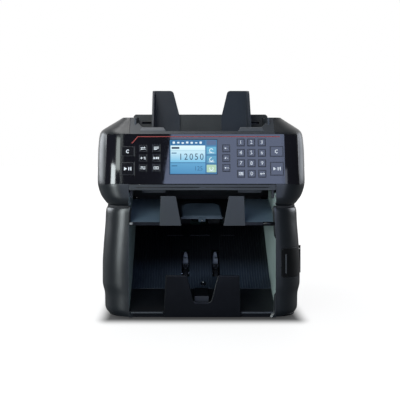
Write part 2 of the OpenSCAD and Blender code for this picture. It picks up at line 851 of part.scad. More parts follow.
// Right-hand cover; the left one is its mirror image.
module side_cover() {
    collar();
    difference() {
        intersection() {
            body_solid(0);
            block([half_pocket + 0.2, -far, 0], [far, far, far]);
        }
        cover_hollow();
        block([0, body_front + cover_wall + eps, base_z - 1], [frame_out + 0.5, far, far]);
        block([0, body_back - body_rear_r, base_z - 1], [rear_hw + seam_gap, far, neck_z - cover_wall]);
        block([0, body_back - cover_wall - eps, base_z - 1], [rear_hw + seam_gap, far, far]);
    }
}

module side_cover_left() {
    color("#2b2e33") mirror([1, 0, 0]) side_cover();
}

// The hole for the port door, grown by g on every side.
module door_zone(g) {
    block([door_x - g, -far, door_z[0] - g], [far, door_y1 + g, door_z[1] + g]);
}

module knuckle(z0, z1, r) {
    translate([door_axis[0], door_axis[1], z0]) cylinder(r = r, h = z1 - z0);
}

module side_cover_right() {
    tab = [door_axis[0] - 2.5, door_axis[1]];
    color("#26282d") difference() {
        union() {
            difference() {
                side_cover();
                door_zone(door_gap);
                knuckle(door_z[0] + 5.8, door_z[1] - 5.8, knuckle_r + 0.4);
            }
            for (z = [door_z[0] + 1, door_z[1] - 6]) {
                knuckle(z, z + 5, knuckle_r);
                block([tab[0], tab[1], z], [door_axis[0] + 0.3, tab[1] + 3, z + 5]);
            }
        }
        knuckle(0, neck_z, door_pin_r + run_gap);
    }
}

module port_door() {
    z0 = door_z[0] + 6.4;
    z1 = door_z[1] - 6.4;
    color("#1a1b1f") difference() {
        union() {
            difference() {
                intersection() {
                    body_solid(0);
                    door_zone(0);
                }
                cover_hollow();
                knuckle(door_z[0] - 1, door_z[1] + 1, knuckle_r + 0.4);
            }
            knuckle(z0, z1, knuckle_r);
            block([door_axis[0] - 2.4, door_axis[1] - 3, z0], [door_axis[0] - 0.2, door_axis[1], z1]);
        }
        knuckle(0, neck_z, door_pin_r + run_gap);
    }
}

module foot_places() {
    for (x = [-1, 1], y = [body_front + 28, body_back - 30])
        translate([x * (half_body - 32), y, 0]) children();
}

module base_pan() {
    color("#222427") difference() {
        union() {
            translate([0, 0, base_z]) linear_extrude(pan_t)
                polygon(plan(half_body - 8 - cover_wall - seam_gap, body_front + cover_wall + seam_gap,
                    body_back - cover_wall - seam_gap, body_corner_r - cover_wall - 4 - seam_gap,
                    body_rear_r - cover_wall - 4 - seam_gap));
            block([-half_pocket + 0.1, body_front, base_z], [half_pocket - 0.1, body_front + lip_t, lip_z]);
            block([-half_pocket + 0.1, body_front, base_z],
                [half_pocket - 0.1, body_front + cover_wall + seam_gap + 2, base_z + pan_t]);
        }
        foot_places() cylinder(r = shaft_r, h = 20);
    }
}

module rubber_feet() {
    color("#1a1a1a") foot_places() {
        cylinder(r = 9, h = foot_h);
        cylinder(r = shaft_r - run_gap, h = foot_h + pan_t + 2);
    }
}

module side_frames() {
    frame_y0 = body_front + cover_wall + 0.4;
    frame_y1 = body_back - rear_t - 0.4;
    upper_y0 = front_y + 14;
    baffle_y = drum_y + drum_r + 3;
    baffle_hw = frame_out + 20;
    outline = [
        [frame_y0, pan_top], [frame_y1, pan_top], [frame_y1, neck_z - 4],
        [hinge_y + hinge_lug_r - 1.5, neck_z + 2], [hinge_y + hinge_lug_r - 1.5, hinge_z],
        [hinge_y - hinge_lug_r, hinge_z], [hinge_y - hinge_lug_r, neck_z - 4],
        [front_y + 100, neck_z - 4], [front_y + 100, frame_top],
        [upper_y0, frame_top], [upper_y0, neck_z - 3], [frame_y0, neck_z - 6]
    ];
    color("#75807c") {
        for (s = [-1, 1])
            difference() {
                union() {
                    translate([s * (frame_in + frame_t / 2), 0, 0]) across(-frame_t / 2, frame_t / 2) polygon(outline);
                    rod(s * (frame_in + frame_t / 2) - frame_t / 2, s * (frame_in + frame_t / 2) + frame_t / 2,
                        hinge_y, hinge_z, hinge_lug_r);
                }
                frame_bore(s, hinge_y, hinge_z, hinge_pin_r);
                frame_bore(s, locate_y, locate_z, locate_r);
                frame_bore(s, wheel_y, wheel_z, shaft_r);
                frame_bore(s, drum_y, drum_z, drum_shaft_r);
                frame_bore(s, gate_y, gate_z, gate_r);
                if (s > 0) frame_bore(s, motor_y, motor_z, motor_shaft_r);
            }
        for (b = tie_bars)
            rod(seat_gap - frame_in, frame_in - seat_gap, b[0], b[1], tie_r);
        // Dust baffle behind the drum, which stands on the plates.
        block([seat_gap - frame_in, baffle_y, neck_z - 14], [frame_in - seat_gap, baffle_y + 2, frame_top - 1]);
        block([-frame_out, baffle_y, neck_z - 4 + seat_gap], [frame_out, baffle_y + 2, frame_top - 1]);
        block([-baffle_hw, baffle_y, neck_z + seam_gap], [baffle_hw, baffle_y + 2, frame_top - 1]);
    }
}

module frame_bore(s, y, z, r) {
    rod(s * (frame_in + frame_t / 2) - frame_t, s * (frame_in + frame_t / 2) + frame_t, y, z, r + run_gap);
}

module hinge_pins() {
    color("#c4c7c9") {
        for (s = [-1, 1]) {
            rod(s * (frame_in - 1) - 4, s * (frame_in - 1) + 4 + 2, hinge_y, hinge_z, hinge_pin_r);
            rod(s * (frame_in - 0.5) - 3.6, s * (frame_in - 0.5) + 3.6, locate_y, locate_z, locate_r);
        }
        knuckle(door_z[0] + 1, door_z[1] - 1, door_pin_r);
    }
}

module rear_cover() {
    pitch = 8;
    vent_z = neck_z - 28;
    color("#26282d") difference() {
        block([-rear_hw, body_back - rear_t, pan_top + 0.3], [rear_hw, body_back, neck_z - cover_wall - 0.3]);
        for (s = [-1, 1], i = [0 : louver_n - 1])
            translate([s * 45, body_back, vent_z - i * pitch / 2 * 1.2]) cube([56, 3 * rear_t, 2.2], center = true);
        translate([inlet_at[0], body_back, inlet_at[1]]) cube([inlet_hole[0], 3 * rear_t, inlet_hole[1]], center = true);
        translate([switch_at[0], body_back, switch_at[1]])
            cube([rocker_w + 3, 3 * rear_t, 2 * rocker_hw + 5], center = true);
        for (p = rear_screws)
            translate([p[0], body_back - rear_t - 1, p[1]]) rotate([-90, 0, 0]) cylinder(r = screw_r + 0.1, h = rear_t + 2);
    }
}

module fasteners() {
    color("#b5b8ba") for (p = rear_screws)
        translate([p[0], body_back, p[1]]) rotate([-90, 0, 0]) {
            cylinder(r = screw_head_r, h = 1.6);
            translate([0, 0, -rear_t - 4]) cylinder(r = screw_r, h = rear_t + 4 + eps);
        }
}

module power_inlet() {
    socket = [24, 16.5];
    body = inlet_hole - [0.6, 0.6];
    depth = 22;
    color("#151618") {
        difference() {
            union() {
                block([inlet_at[0] - 18, body_back, inlet_at[1] - 15], [switch_at[0] + 12, body_back + bezel_t, inlet_at[1] + 15]);
                translate([inlet_at[0], body_back - depth / 2 + eps, inlet_at[1]]) cube([body[0], depth, body[1]], center = true);
            }
            translate([inlet_at[0], body_back - 7, inlet_at[1]]) cube([socket[0], 18.1, socket[1]], center = true);
            translate([switch_at[0], body_back, switch_at[1]])
                cube([rocker_w + 0.8, 8, 2 * rocker_hw + 2.6], center = true);
        }
        for (p = [[-6.5, -2.5], [0, 2.5], [6.5, -2.5]])
            translate([inlet_at[0] + p[0], body_back - 9, inlet_at[1] + p[1]]) cube([2, 14.2, 4], center = true);
    }
}

module power_switch() {
    color("#101113") {
        translate([switch_at[0] - rocker_w / 2, rocker_y, switch_at[1]])
            rotate([rocker_swing / 2, 0, 0]) across(0, rocker_w) polygon([
                [-3, -5], [6.5, -rocker_hw], [5.2, 0], [6.5, rocker_hw], [-3, 5]]);
        // Trunnions at its pivot.
        rod(switch_at[0] - rocker_w / 2 - 0.3, switch_at[0] + rocker_w / 2 + 0.3, rocker_y, switch_at[1], 1.5);
    }
}

module circuit_boards() {
    main_y = body_back - rear_t - 14;
    power_y = [motor_y - 20, motor_y + 40];
    io_x = half_body - 24;
    color("#1f5a38") {
        // Main board on stand-offs from the rear cover.
        block([-80, main_y, 62], [80, main_y + board_t, neck_z - 20]);
        for (x = [-74, 74], z = [68, neck_z - 26])
            translate([x, main_y + board_t - eps, z]) rotate([-90, 0, 0]) cylinder(r = 2.5, h = 14 - board_t);
        for (c = [[-60, 90, 30, 26], [-15, 85, 24, 24], [30, 100, 40, 14], [35, 75, 30, 12]])
            block([c[0], main_y - 5, c[1]], [c[0] + c[2], main_y + eps, c[1] + c[3]]);
        // Power board on stand-offs from the base pan.
        block([-95, power_y[0], 12], [-5, power_y[1], 12 + board_t]);
        for (x = [-90, -10], y = [power_y[0] + 5, power_y[1] - 5])
            translate([x, y, pan_top]) cylinder(r = 2.5, h = 12 - pan_top + eps);
        for (c = [[-90, 8, 30, 30, 26], [-52, 12, 22, 34, 22], [-24, 8, 14, 20, 30]])
            block([c[0], power_y[0] + c[1], 12 + board_t - eps], [c[0] + c[2], power_y[0] + c[1] + c[3], 12 + board_t + c[4]]);
        // Port board behind the door.
        block([io_x - board_t, body_front + 12, door_z[0] + 3], [io_x, body_front + 42, door_z[1] - 3]);
        for (z = [door_z[0] + 8, door_z[1] - 8])
            rod(frame_out, io_x - board_t + eps, body_front + 37, z, 2.5);
        for (c = [[16, 4, 12, 11], [30, 4, 10, 12], [16, 20, 14, 6], [16, 30, 24, 3]])
            block([io_x - eps, body_front + c[0], door_z[0] + c[1]],
                [io_x + 7, body_front + c[0] + c[2], door_z[0] + c[1] + c[3]]);
    }
}

// ---- Stacker pocket ----

module stacker_floor() {
    hw = half_pocket - 0.3;
    block_y = floor_y0 + 15;
    color("#141518") {
        sheet(-hw, hw, [[floor_y0, floor_z0], [floor_y1, floor_z1]], sheet_t);
        // Sensor block behind the notch.
        across(-11, 10) polygon([
            [block_y, floor_z0 + 15 * floor_rise / floor_run - 1], [block_y + 1, floor_z0 + 19.5],
            [block_y + 5, floor_z0 + 20.5], [floor_y1 - 2, floor_z1 + 1.5], [floor_y1 - 2, floor_z1 - 3]]);
    }
}

module stacker_back() {
    hw = half_pocket - 0.3;
    cut_up = sqrt(pow(wheel_r, 2) - pow(wheel_depth - sheet_t, 2)) + wheel_gap;
    color("#191b1f") difference() {
        sheet(-hw, hw, [[floor_y1 + 0.3, floor_z1], [bend_y1, bend_z1], [back_y1, back_z1]], sheet_t);
        for (s = [-1, 1])
            translate([s * wheel_x, bend_y1, bend_z1]) rotate([back_run[1], 0, 0])
                block([-wheel_w / 2 - wheel_gap, wheel_up - cut_up, -12], [wheel_w / 2 + wheel_gap, wheel_up + cut_up, 8]);
    }
}

module front_stop() {
    y0 = body_front - 0.3 - stop_t;
    z0 = base_z + 0.2;
    flange = 10;
    color("#202327") {
        back_from(y0, y0 + stop_t) polygon(concat(
            [[-stop_hw[0], z0], [stop_hw[0], z0], [stop_hw[1], stop_z], [notch_hw[1], stop_z]],
            [[notch_hw[0] + 2, notch_z + 3], [notch_hw[0] - 2, notch_z], [-notch_hw[0] + 2, notch_z],
             [-notch_hw[0] - 2, notch_z + 3]],
            [[-notch_hw[1], stop_z], [-stop_hw[1], stop_z]]));
        for (s = [-1, 1])
            translate([s * (stop_hw[1] - 2.2), 0, 0])
                block([-1, y0 + stop_t - eps, lip_z + 7], [1, y0 + stop_t + flange, stop_z - 3]);
    }
}

// A finger of a stacker wheel: a tapered blade that sweeps back as it goes out.
function finger_point(r, side) = let (
        t = (r - hub_r + 1) / (wheel_r - hub_r + 1),
        turn = 38 * t * t + side * (6 - 3.5 * t) * hub_r / r
    ) r * [cos(turn), sin(turn)];

module stacker_wheels() {
    steps = 6;
    color("#2a2f3a") {
        rod(-frame_out - 1, belt_x + belt_w + 1, wheel_y, wheel_z, shaft_r);
        for (s = [-1, 1])
            translate([s * wheel_x, wheel_y, wheel_z]) rotate([90, 0, 90]) translate([0, 0, -wheel_w / 2]) difference() {
                union() {
                    cylinder(r = hub_r, h = wheel_w);
                    for (i = [0 : finger_count - 1])
                        rotate(360 / finger_count * i) linear_extrude(wheel_w) polygon(concat(
                            [for (j = [0 : steps]) finger_point(hub_r - 1 + (wheel_r - hub_r + 1) * j / steps, -1)],
                            [for (j = [steps : -1 : 0]) finger_point(hub_r - 1 + (wheel_r - hub_r + 1) * j / steps, 1)]));
                }
                translate([0, 0, -1]) cylinder(r = shaft_r + seat_gap / 2, h = wheel_w + 2);
            }
        rod(belt_x, belt_x + belt_w, wheel_y, wheel_z, pulley_r[2]);
    }
}

// ---- Reject pocket ----

module reject_tray() {
    hw = half_pocket - 0.3;
    y0 = body_front;
    slope = tray_run[1] / (tray_run[0] - 4);
    lip_y = y0 + 4;
    end_y = y0 + tray_run[0] + 4;
    top = [[lip_y, tray_z], [end_y, tray_z + tray_run[1]], [end_y + 44, tray_z + tray_run[1] - 12]];
    tongue = [y0 + 20, y0 + 66];
    color("#23262b") {
        difference() {
            union() {
                sheet(-hw, hw, top, sheet_t);
                block([-hw, y0, tray_z - tray_lip_h], [hw, lip_y + 1, tray_z]);
            }
            block([-tongue_hw - 3, y0 - 1, tray_z - 8], [tongue_hw + 3, tongue[0], tray_z + 12]);
        }
        // Tongue with round back corners, and the sensor boss under its front edge.
        translate([0, tongue[0], tray_z + (tongue[0] - lip_y) * slope]) rotate([atan(slope), 0, 0]) {
            linear_extrude(3) polygon(concat(
                [[-tongue_hw, -2], [tongue_hw, -2]],
                arc([tongue_hw - 14, tongue[1] - tongue[0] - 12], 12, 0, 90, 6),
                arc([-tongue_hw + 14, tongue[1] - tongue[0] - 12], 12, 90, 180, 6)));
            block([-5, -1.5, -7], [5, 8, eps]);
        }
    }
}

module reject_stops() {
    y1 = body_front - 0.3;
    color("#3c3f42") for (s = [-1, 1])
        scale([s, 1, 1]) back_from(y1 - stop_t, y1) polygon([
            [ear_hw[0], tray_z - tray_lip_h - 0.4], [ear_hw[1], tray_z - tray_lip_h - 0.4],
            [ear_hw[3], ear_z], [ear_hw[2], ear_z]]);
}

module diverter_gate() {
    color("#50545a") {
        rod(-frame_out - 1, frame_out + 1, gate_y, gate_z, gate_r);
        for (i = [-2.5 : 1 : 2.5])
            translate([i * 34, 0, 0]) {
                rod(-4, 4, gate_y, gate_z, 4.5);
                translate([0, gate_y, gate_z]) across(-3, 3)
                    polygon([[0, -3.5], [0, 3.5], [-gate_reach, 0.8], [-gate_reach, -0.4]]);
            }
    }
}

// ---- Drive ----

module transport_drum() {
    color("#3b3b3d") {
        rod(-frame_out - 1, belt_x + belt_w + 1, drum_y, drum_z, drum_shaft_r);
        for (x = [-75, -25, 25, 75])
            rod(x - 10, x + 10, drum_y, drum_z, drum_r);
        rod(belt_x, belt_x + belt_w, drum_y, drum_z, pulley_r[0]);
    }
}

module drive_motor() {
    color("#8d9095") difference() {
        rod(frame_in - motor_l, frame_in, motor_y, motor_z, motor_r);
        rod(frame_in - motor_l + 5, frame_in + 1, motor_y, motor_z, motor_shaft_r + run_gap);
    }
}

module motor_pulley() {
    color("#c4c7c9") {
        rod(frame_in - motor_l + 6, belt_x + belt_w + 1, motor_y, motor_z, motor_shaft_r);
        rod(belt_x, belt_x + belt_w, motor_y, motor_z, pulley_r[1]);
    }
}

module belt_outline(grow) {
    hull() {
        translate([drum_y, drum_z]) circle(r = pulley_r[0] + grow);
        translate([motor_y, motor_z]) circle(r = pulley_r[1] + grow);
        translate([wheel_y, wheel_z]) circle(r = pulley_r[2] + grow);
    }
}

module drive_belt() {
    color("#161616") across(belt_x, belt_x + belt_w) difference() {
        belt_outline(belt_gap + belt_t);
        belt_outline(belt_gap);
    }
}

base_pan();
rubber_feet();
side_cover_left();
side_cover_right();
side_frames();
hinge_pins();
rear_cover();
fasteners();
power_inlet();
power_switch();
circuit_boards();
port_door();
stacker_floor();
stacker_back();
front_stop();
stacker_wheels();
reject_tray();
reject_stops();
diverter_gate();
transport_drum();
drive_motor();
motor_pulley();
drive_belt();
cheek_left();
cheek_right();
hopper_deck();
fascia();
head_pan();
display();
hopper_plate();
guide_left();
guide_right();
guide_pinion();
feed_rollers();
feed_motor();
for (k = keys)
    key(k);
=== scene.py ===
import json
from math import asin, atan2, cos, degrees, pi, radians, sin, tan

import bmesh
import bpy
from mathutils import Matrix, Vector

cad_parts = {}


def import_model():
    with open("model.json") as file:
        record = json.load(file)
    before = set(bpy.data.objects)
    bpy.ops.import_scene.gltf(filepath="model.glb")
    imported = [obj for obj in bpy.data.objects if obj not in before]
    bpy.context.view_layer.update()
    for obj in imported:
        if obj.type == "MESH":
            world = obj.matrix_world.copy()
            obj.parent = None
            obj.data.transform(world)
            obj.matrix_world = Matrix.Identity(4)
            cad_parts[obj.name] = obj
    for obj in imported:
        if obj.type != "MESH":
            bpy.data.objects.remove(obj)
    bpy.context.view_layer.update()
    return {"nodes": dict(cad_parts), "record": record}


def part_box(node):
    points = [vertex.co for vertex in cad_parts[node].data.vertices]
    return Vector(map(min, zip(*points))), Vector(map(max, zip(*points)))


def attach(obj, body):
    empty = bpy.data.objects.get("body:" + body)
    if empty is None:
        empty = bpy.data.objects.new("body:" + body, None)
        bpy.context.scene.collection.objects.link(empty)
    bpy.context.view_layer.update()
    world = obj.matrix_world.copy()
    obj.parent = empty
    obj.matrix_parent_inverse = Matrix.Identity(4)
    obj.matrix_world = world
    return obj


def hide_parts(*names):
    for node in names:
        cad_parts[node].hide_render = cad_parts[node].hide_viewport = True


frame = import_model()

# ---- Sizes, in millimetres, in the frame of the CAD model ----

MM = 0.001

# Head: the front panel leans back by TILT and stands on the lower line FASCIA_Z[0].
TILT = radians(10)
FRONT_Y = -145.0
BACK_Y = 145.0
HEAD_Z = 166.6
CREST_Z = 297.0
HEAD_HALF = {"left": 157, "right": 155}
HEAD_R = 36
HINGE_CUT = ((100, 118, HEAD_Z - 1), (111.6, 150, 191.6))
FASCIA_Z = (198.6, 271.7)
FASCIA_HALF = 143.0
FASCIA_ROOM = 3.3
FASCIA_GAP = 0.3
FACE = Matrix.Translation((0, FRONT_Y, FASCIA_Z[0])) @ Matrix.Rotation(-TILT, 4, "X")
PANEL_END = (113, 118)
LIP_SLOT_Z = 193.2
RIM_FOOT_Z = 275.9

# Lower body: side covers from the seam beside the pockets round to the rear cover.
BODY_Y = (-140.0, 142.0)
BODY_Z = (3.0, 162.0)
BODY_HALF = {"left": 150, "right": 148.4}
BODY_R = 38
REAR_HALF = 122.0
SEAM_X = 107.8
SHELL = 2.4
COLLAR_END = 112
FOOTPRINT = (136.0, 139.0, 0.0)
SCREW_X = REAR_HALF - 0.3 - 8
SCREW_Z = (20, 82, 148)

# Port door at the right front corner, and the ports' board behind it.
DOOR_X = 115.4
DOOR_Y = -95.4
DOOR_Z = (60.3, 104.1)
DOOR_AXIS = (150.3, -95.75)
DOOR_GAP = 0.55
DOOR_R = 5
PULL_X = 123.2
PORTS_X = (126.1, 126.3)

# Keys and display, in the plane of the panel: across, and up from its lower line.
KEY = 10.5
KEY_PROUD = 0.5
KEY_ROW = (23.6, 14.6)
SIDE_KEY = (109.4, 19.0)
FN_X = (-87.1, -67.7)
SOFT_X = 35.3
PAD_X, PAD_Z, PAD_PITCH = 72.2, 15.1, 15.5
SCREEN = (-13.1, 40.0, 34.6, 25.6)
SCREEN_OUT = -0.2
LAYER = 0.04
INK = 0.03
INK_SINK = 0.02

# Pockets. WHEEL is x, y, z, radius and width; STACK_LINE is the stacker's floor and back in (y, z).
WHEEL = (24.0, -23.67, 47.38, 36.0, 9.0)
HUB_R = 9.0
FINGERS = 12
STACK_LINE = [Vector((-85.7, 34.8)), Vector((-61.83, 49.43)), Vector((24.99, 121.76))]
RIB_PITCH = 4.0
TRAY_Z = 142.5
TRAY_LIP = (32.4, 107.0)
# Where the reject tray's painted light and shade change: beside the tongue, behind it, and at the outer
# fields.
TONGUE_EDGE = (29.2, 30.4)
TONGUE_BACK = (-74.5, -73.5)
FIELD_EDGE = (60, 64)
# Where the side walls' colour turns black: painted shade behind the rollers.
PAINTED_SHADE_Y = (94, 97)

SIDES = ((-1, "l"), (1, "r"))
SHARP = radians(35)
TO_X = Matrix.Rotation(radians(90), 4, "Y")
UPRIGHT = Matrix.Rotation(radians(-90), 4, "X")


# ---- Materials ----


class Graph:
    """Nodes of a material or of the world, made and joined in few words."""

    def __init__(self, owner, place):
        owner.use_nodes = True
        self.nodes = owner.node_tree.nodes
        self.links = owner.node_tree.links
        self.place = self.nodes.new("ShaderNodeTexCoord").outputs[place]

    def node(self, kind, **values):
        made = self.nodes.new(kind)
        for key, value in values.items():
            setattr(made, key, value)
        return made

    def math(self, operation, *inputs, kind="ShaderNodeMath", output="Value"):
        """One step of arithmetic. Each input is a number, a vector or another node's output."""
        made = self.node(kind, operation=operation)
        for value, socket in zip(inputs, made.inputs):
            if isinstance(value, (int, float, tuple)):
                socket.default_value = value
            else:
                self.links.new(value, socket)
        return made.outputs[output]

    def vector(self, operation, *inputs, output="Vector"):
        return self.math(operation, *inputs, kind="ShaderNodeVectorMath", output=output)

    def along(self, axis):
        """The place along one axis, in metres."""
        split = self.node("ShaderNodeSeparateXYZ")
        self.links.new(self.place, split.inputs["Vector"])
        return split.outputs[axis]

    def noise(self, size, detail=3.0, scale=(1, 1, 1)):
        """Noise whose features are about size millimetres across."""
        made = self.node("ShaderNodeTexNoise")
        made.inputs["Scale"].default_value = 1 / (size * MM)
        made.inputs["Detail"].default_value = detail
        self.links.new(self.vector("MULTIPLY", self.place, scale), made.inputs["Vector"])
        return made.outputs["Fac"]

    def ramp(self, source, low, high, start=0.3, stop=0.7, kind="LINEAR"):
        """Maps source from start..stop to low..high."""
        made = self.node("ShaderNodeMapRange", interpolation_type=kind)
        for socket, value in zip(("From Min", "From Max", "To Min", "To Max"), (start, stop, low, high)):
            made.inputs[socket].default_value = value
        self.links.new(source, made.inputs["Value"])
        return made.outputs["Result"]

    def span(self, source, start, stop, low=0, high=1):
        """Maps a length from start..stop, in millimetres, to low..high."""
        return self.ramp(source, low, high, start * MM, stop * MM)

    def blend(self, factor, below, above):
        """Mixes two colours by factor. The lower one may be another node's output."""
        mix = self.node("ShaderNodeMix", data_type="RGBA")
        self.links.new(factor, mix.inputs["Factor"])
        if isinstance(below, tuple):
            mix.inputs["A"].default_value = (*below, 1)
        else:
            self.links.new(below, mix.inputs["A"])
        mix.inputs["B"].default_value = (*above, 1)
        return mix.outputs["Result"]


class Finish(Graph):
    """A procedural material: uniform values sit on the shader's sockets, detail comes from noise."""

    def __init__(self, name, colour, roughness, metallic=0.0, specular=0.5, coat=0.0, coat_roughness=0.03):
        self.name = name
        self.mat = bpy.data.materials.new(name)
        super().__init__(self.mat, "Object")
        self.shader = self.nodes["Principled BSDF"]
        self.colour = colour
        self.roughness = roughness
        for socket, value in (("Base Color", (*colour, 1)), ("Roughness", roughness), ("Metallic", metallic),
                              ("Specular IOR Level", specular), ("Coat Weight", coat),
                              ("Coat Roughness", coat_roughness)):
            self.set(socket, value)
        self.shade = None
        self.normal = None

    def set(self, socket, value):
        self.shader.inputs[socket].default_value = value

    def plug(self, source, socket):
        self.links.new(source, self.shader.inputs[socket])

    def tint(self, factor, colour):
        """Blends towards colour by factor, on top of what is there."""
        below = self.colour if self.shade is None else self.shade
        self.shade = self.blend(factor, below, colour)
        self.plug(self.shade, "Base Color")
        return self

    def fade(self, colour, low, high, axis="Z"):
        """Blends to colour between two places along an axis, in millimetres."""
        return self.tint(self.span(self.along(axis), low, high), colour)

    def fade_round(self, colour, middle, low, high):
        """Blends to colour between two distances, in millimetres, from an axis along X through middle."""
        flat = self.vector("MULTIPLY", self.place, (0, 1, 1))
        off = self.vector("SUBTRACT", flat, (0, middle[0] * MM, middle[1] * MM))
        return self.tint(self.span(self.vector("LENGTH", off, output="Value"), low, high), colour)

    def mottle(self, size, amount):
        """Slow drift of the colour, lighter by up to amount."""
        lighter = tuple(c * (1 + amount) for c in self.colour)
        return self.tint(self.ramp(self.noise(size), 0, 1), lighter)

    def rough(self, size, spread, scale=(1, 1, 1)):
        """Roughness that wanders by spread."""
        value = self.ramp(self.noise(size, scale=scale), self.roughness - spread, self.roughness + spread)
        self.plug(value, "Roughness")
        return self

    def dull_ends(self, value, low, high):
        """Roughness that rises to value at both ends of X, low to high millimetres from the middle."""
        rise = self.span(self.math("ABSOLUTE", self.along("X")), low, high, 0, value)
        so_far = self.shader.inputs["Roughness"].links[0].from_socket
        self.plug(self.math("MAXIMUM", so_far, rise), "Roughness")
        return self

    def bump(self, height, depth, strength=0.5):
        made = self.node("ShaderNodeBump")
        made.inputs["Distance"].default_value = depth * MM
        made.inputs["Strength"].default_value = strength
        self.links.new(height, made.inputs["Height"])
        if self.normal is not None:
            self.links.new(self.normal, made.inputs["Normal"])
        self.normal = made.outputs["Normal"]
        self.plug(self.normal, "Normal")
        return self

    def grain(self, size=0.35, depth=0.03, strength=0.4):
        """Fine spark-eroded texture of a moulded part."""
        return self.bump(self.noise(size, 2.0), depth, strength)

    def worn_and_lit_edges(self, radius, colour, amount=0.6):
        """Lighter edges, partly polished where hands and notes rub and partly a painted highlight where edges
        catch the lamps.
        """
        bevel = self.node("ShaderNodeBevel", samples=4)
        bevel.inputs["Radius"].default_value = radius * MM
        flat = self.node("ShaderNodeNewGeometry").outputs["Normal"]
        turned = self.vector("DOT_PRODUCT", bevel.outputs["Normal"], flat, output="Value")
        return self.tint(self.ramp(turned, amount, 0, 0.8, 0.985), colour)


def moulded(name, colour, roughness, edge=None, **extra):
    """Spark-eroded plastic, with lighter edges where a colour is given for them: partly wear, partly painted
    highlight.
    """
    made = Finish(name, colour, roughness, **extra)
    made.mottle(55, 0.14).rough(22, 0.03).grain(0.35, 0.02, 0.35)
    return made.worn_and_lit_edges(0.7, edge) if edge else made


def coated_frame(name, colour, dark):
    """Powder-coated side wall that turns black further back: painted shade inside the machine behind the
    rollers.
    """
    made = Finish(name, colour, 0.5)
    return made.mottle(40, 0.18).fade(dark, *PAINTED_SHADE_Y, "Y").rough(15, 0.06).grain(0.5, 0.04, 0.5)


def circuit_board(name, colour, metal_grey):
    """Green board; only the shells of the port connectors stand beyond its face, and they are grey."""
    made = Finish(name, colour, 0.4)
    made.mottle(55, 0.14).fade(metal_grey, *PORTS_X, "X").grain(0.35, 0.02, 0.35)
    return made.worn_and_lit_edges(0.7, (0.3, 0.3, 0.2))


def finger_painted_light(name, colour, root):
    """Wheel finger with painted light and shade: dark near the hub, where it is shaded, and pale further out
    towards its tip.
    """
    made = Finish(name, root, 0.4)
    return made.mottle(6, 0.2).fade_round(colour, WHEEL[1:3], 12, 20).rough(5, 0.05).grain()


def tray_painted_light_and_shade(name, colour, dark):
    """Tray with painted light and shade: pale on its two outer fields where light reaches it, dimmed on its
    tongue, and dark between them and behind the tongue where it lies in shade.
    """
    made = Finish(name, colour, 0.36)
    made.mottle(25, 0.2)
    across = made.math("ABSOLUTE", made.along("X"))
    beside = made.span(across, *TONGUE_EDGE, 0.62, 1)
    behind = made.span(made.along("Y"), *TONGUE_BACK)
    inner = made.span(across, *FIELD_EDGE, 1, 0)
    shaded = made.math("MULTIPLY", made.math("MAXIMUM", beside, behind), inner)
    return made.tint(shaded, dark).rough(12, 0.04).grain()


def shaded_back(name, colour, upper):
    """Plastic of the stacker's back with painted light and shade: lighter low down where light reaches it,
    darker above in the shade of the tray.
    """
    made = Finish(name, colour, 0.36)
    return made.mottle(18, 0.2).fade(upper, 54, 74).rough(12, 0.05).grain()


def polished(name, colour, roughness, dull=None):
    """Clear-coated gloss plastic with faint dust and wipe marks, duller at its ends if asked."""
    made = Finish(name, colour, roughness, specular=0.68, coat=0.08, coat_roughness=0.02)
    made.mottle(30, 0.25).rough(9, 0.02, scale=(1, 1, 3))
    made.tint(made.ramp(made.noise(1.6, 5), 0, 0.06, 0.62, 0.8), (0.30, 0.31, 0.33))
    return made.dull_ends(*dull) if dull else made


def metal(name, colour, roughness, brush):
    """Brushed metal; brush squeezes the marks along each axis."""
    made = Finish(name, colour, roughness, metallic=1.0)
    made.mottle(12, 0.15).rough(0.8, 0.08, scale=brush)
    return made.bump(made.noise(0.5, 2, scale=brush), 0.01, 0.3)


def rubber(name, colour):
    """Matt rubber with a coarse grain."""
    made = Finish(name, colour, 0.72, specular=0.3)
    return made.mottle(8, 0.3).rough(3, 0.08).grain(0.25, 0.04, 0.6)


def printed(name, colour):
    """Silk-screened ink."""
    made = Finish(name, colour, 0.45, specular=0.4)
    return made.mottle(6, 0.12).rough(4, 0.06).grain(0.2, 0.01, 0.3)


def glowing(name, colour, lower=None, span=None):
    """A lit area of the display. With lower and span it fades to lower from top to bottom of that span."""
    made = Finish(name, (0.004, 0.005, 0.006), 0.12, specular=0.3)
    made.set("Emission Strength", 1.0)
    made.set("Emission Color", (*colour, 1))
    if lower:
        made.plug(made.blend(made.span(made.along("Z"), *span), lower, colour), "Emission Color")
    return made


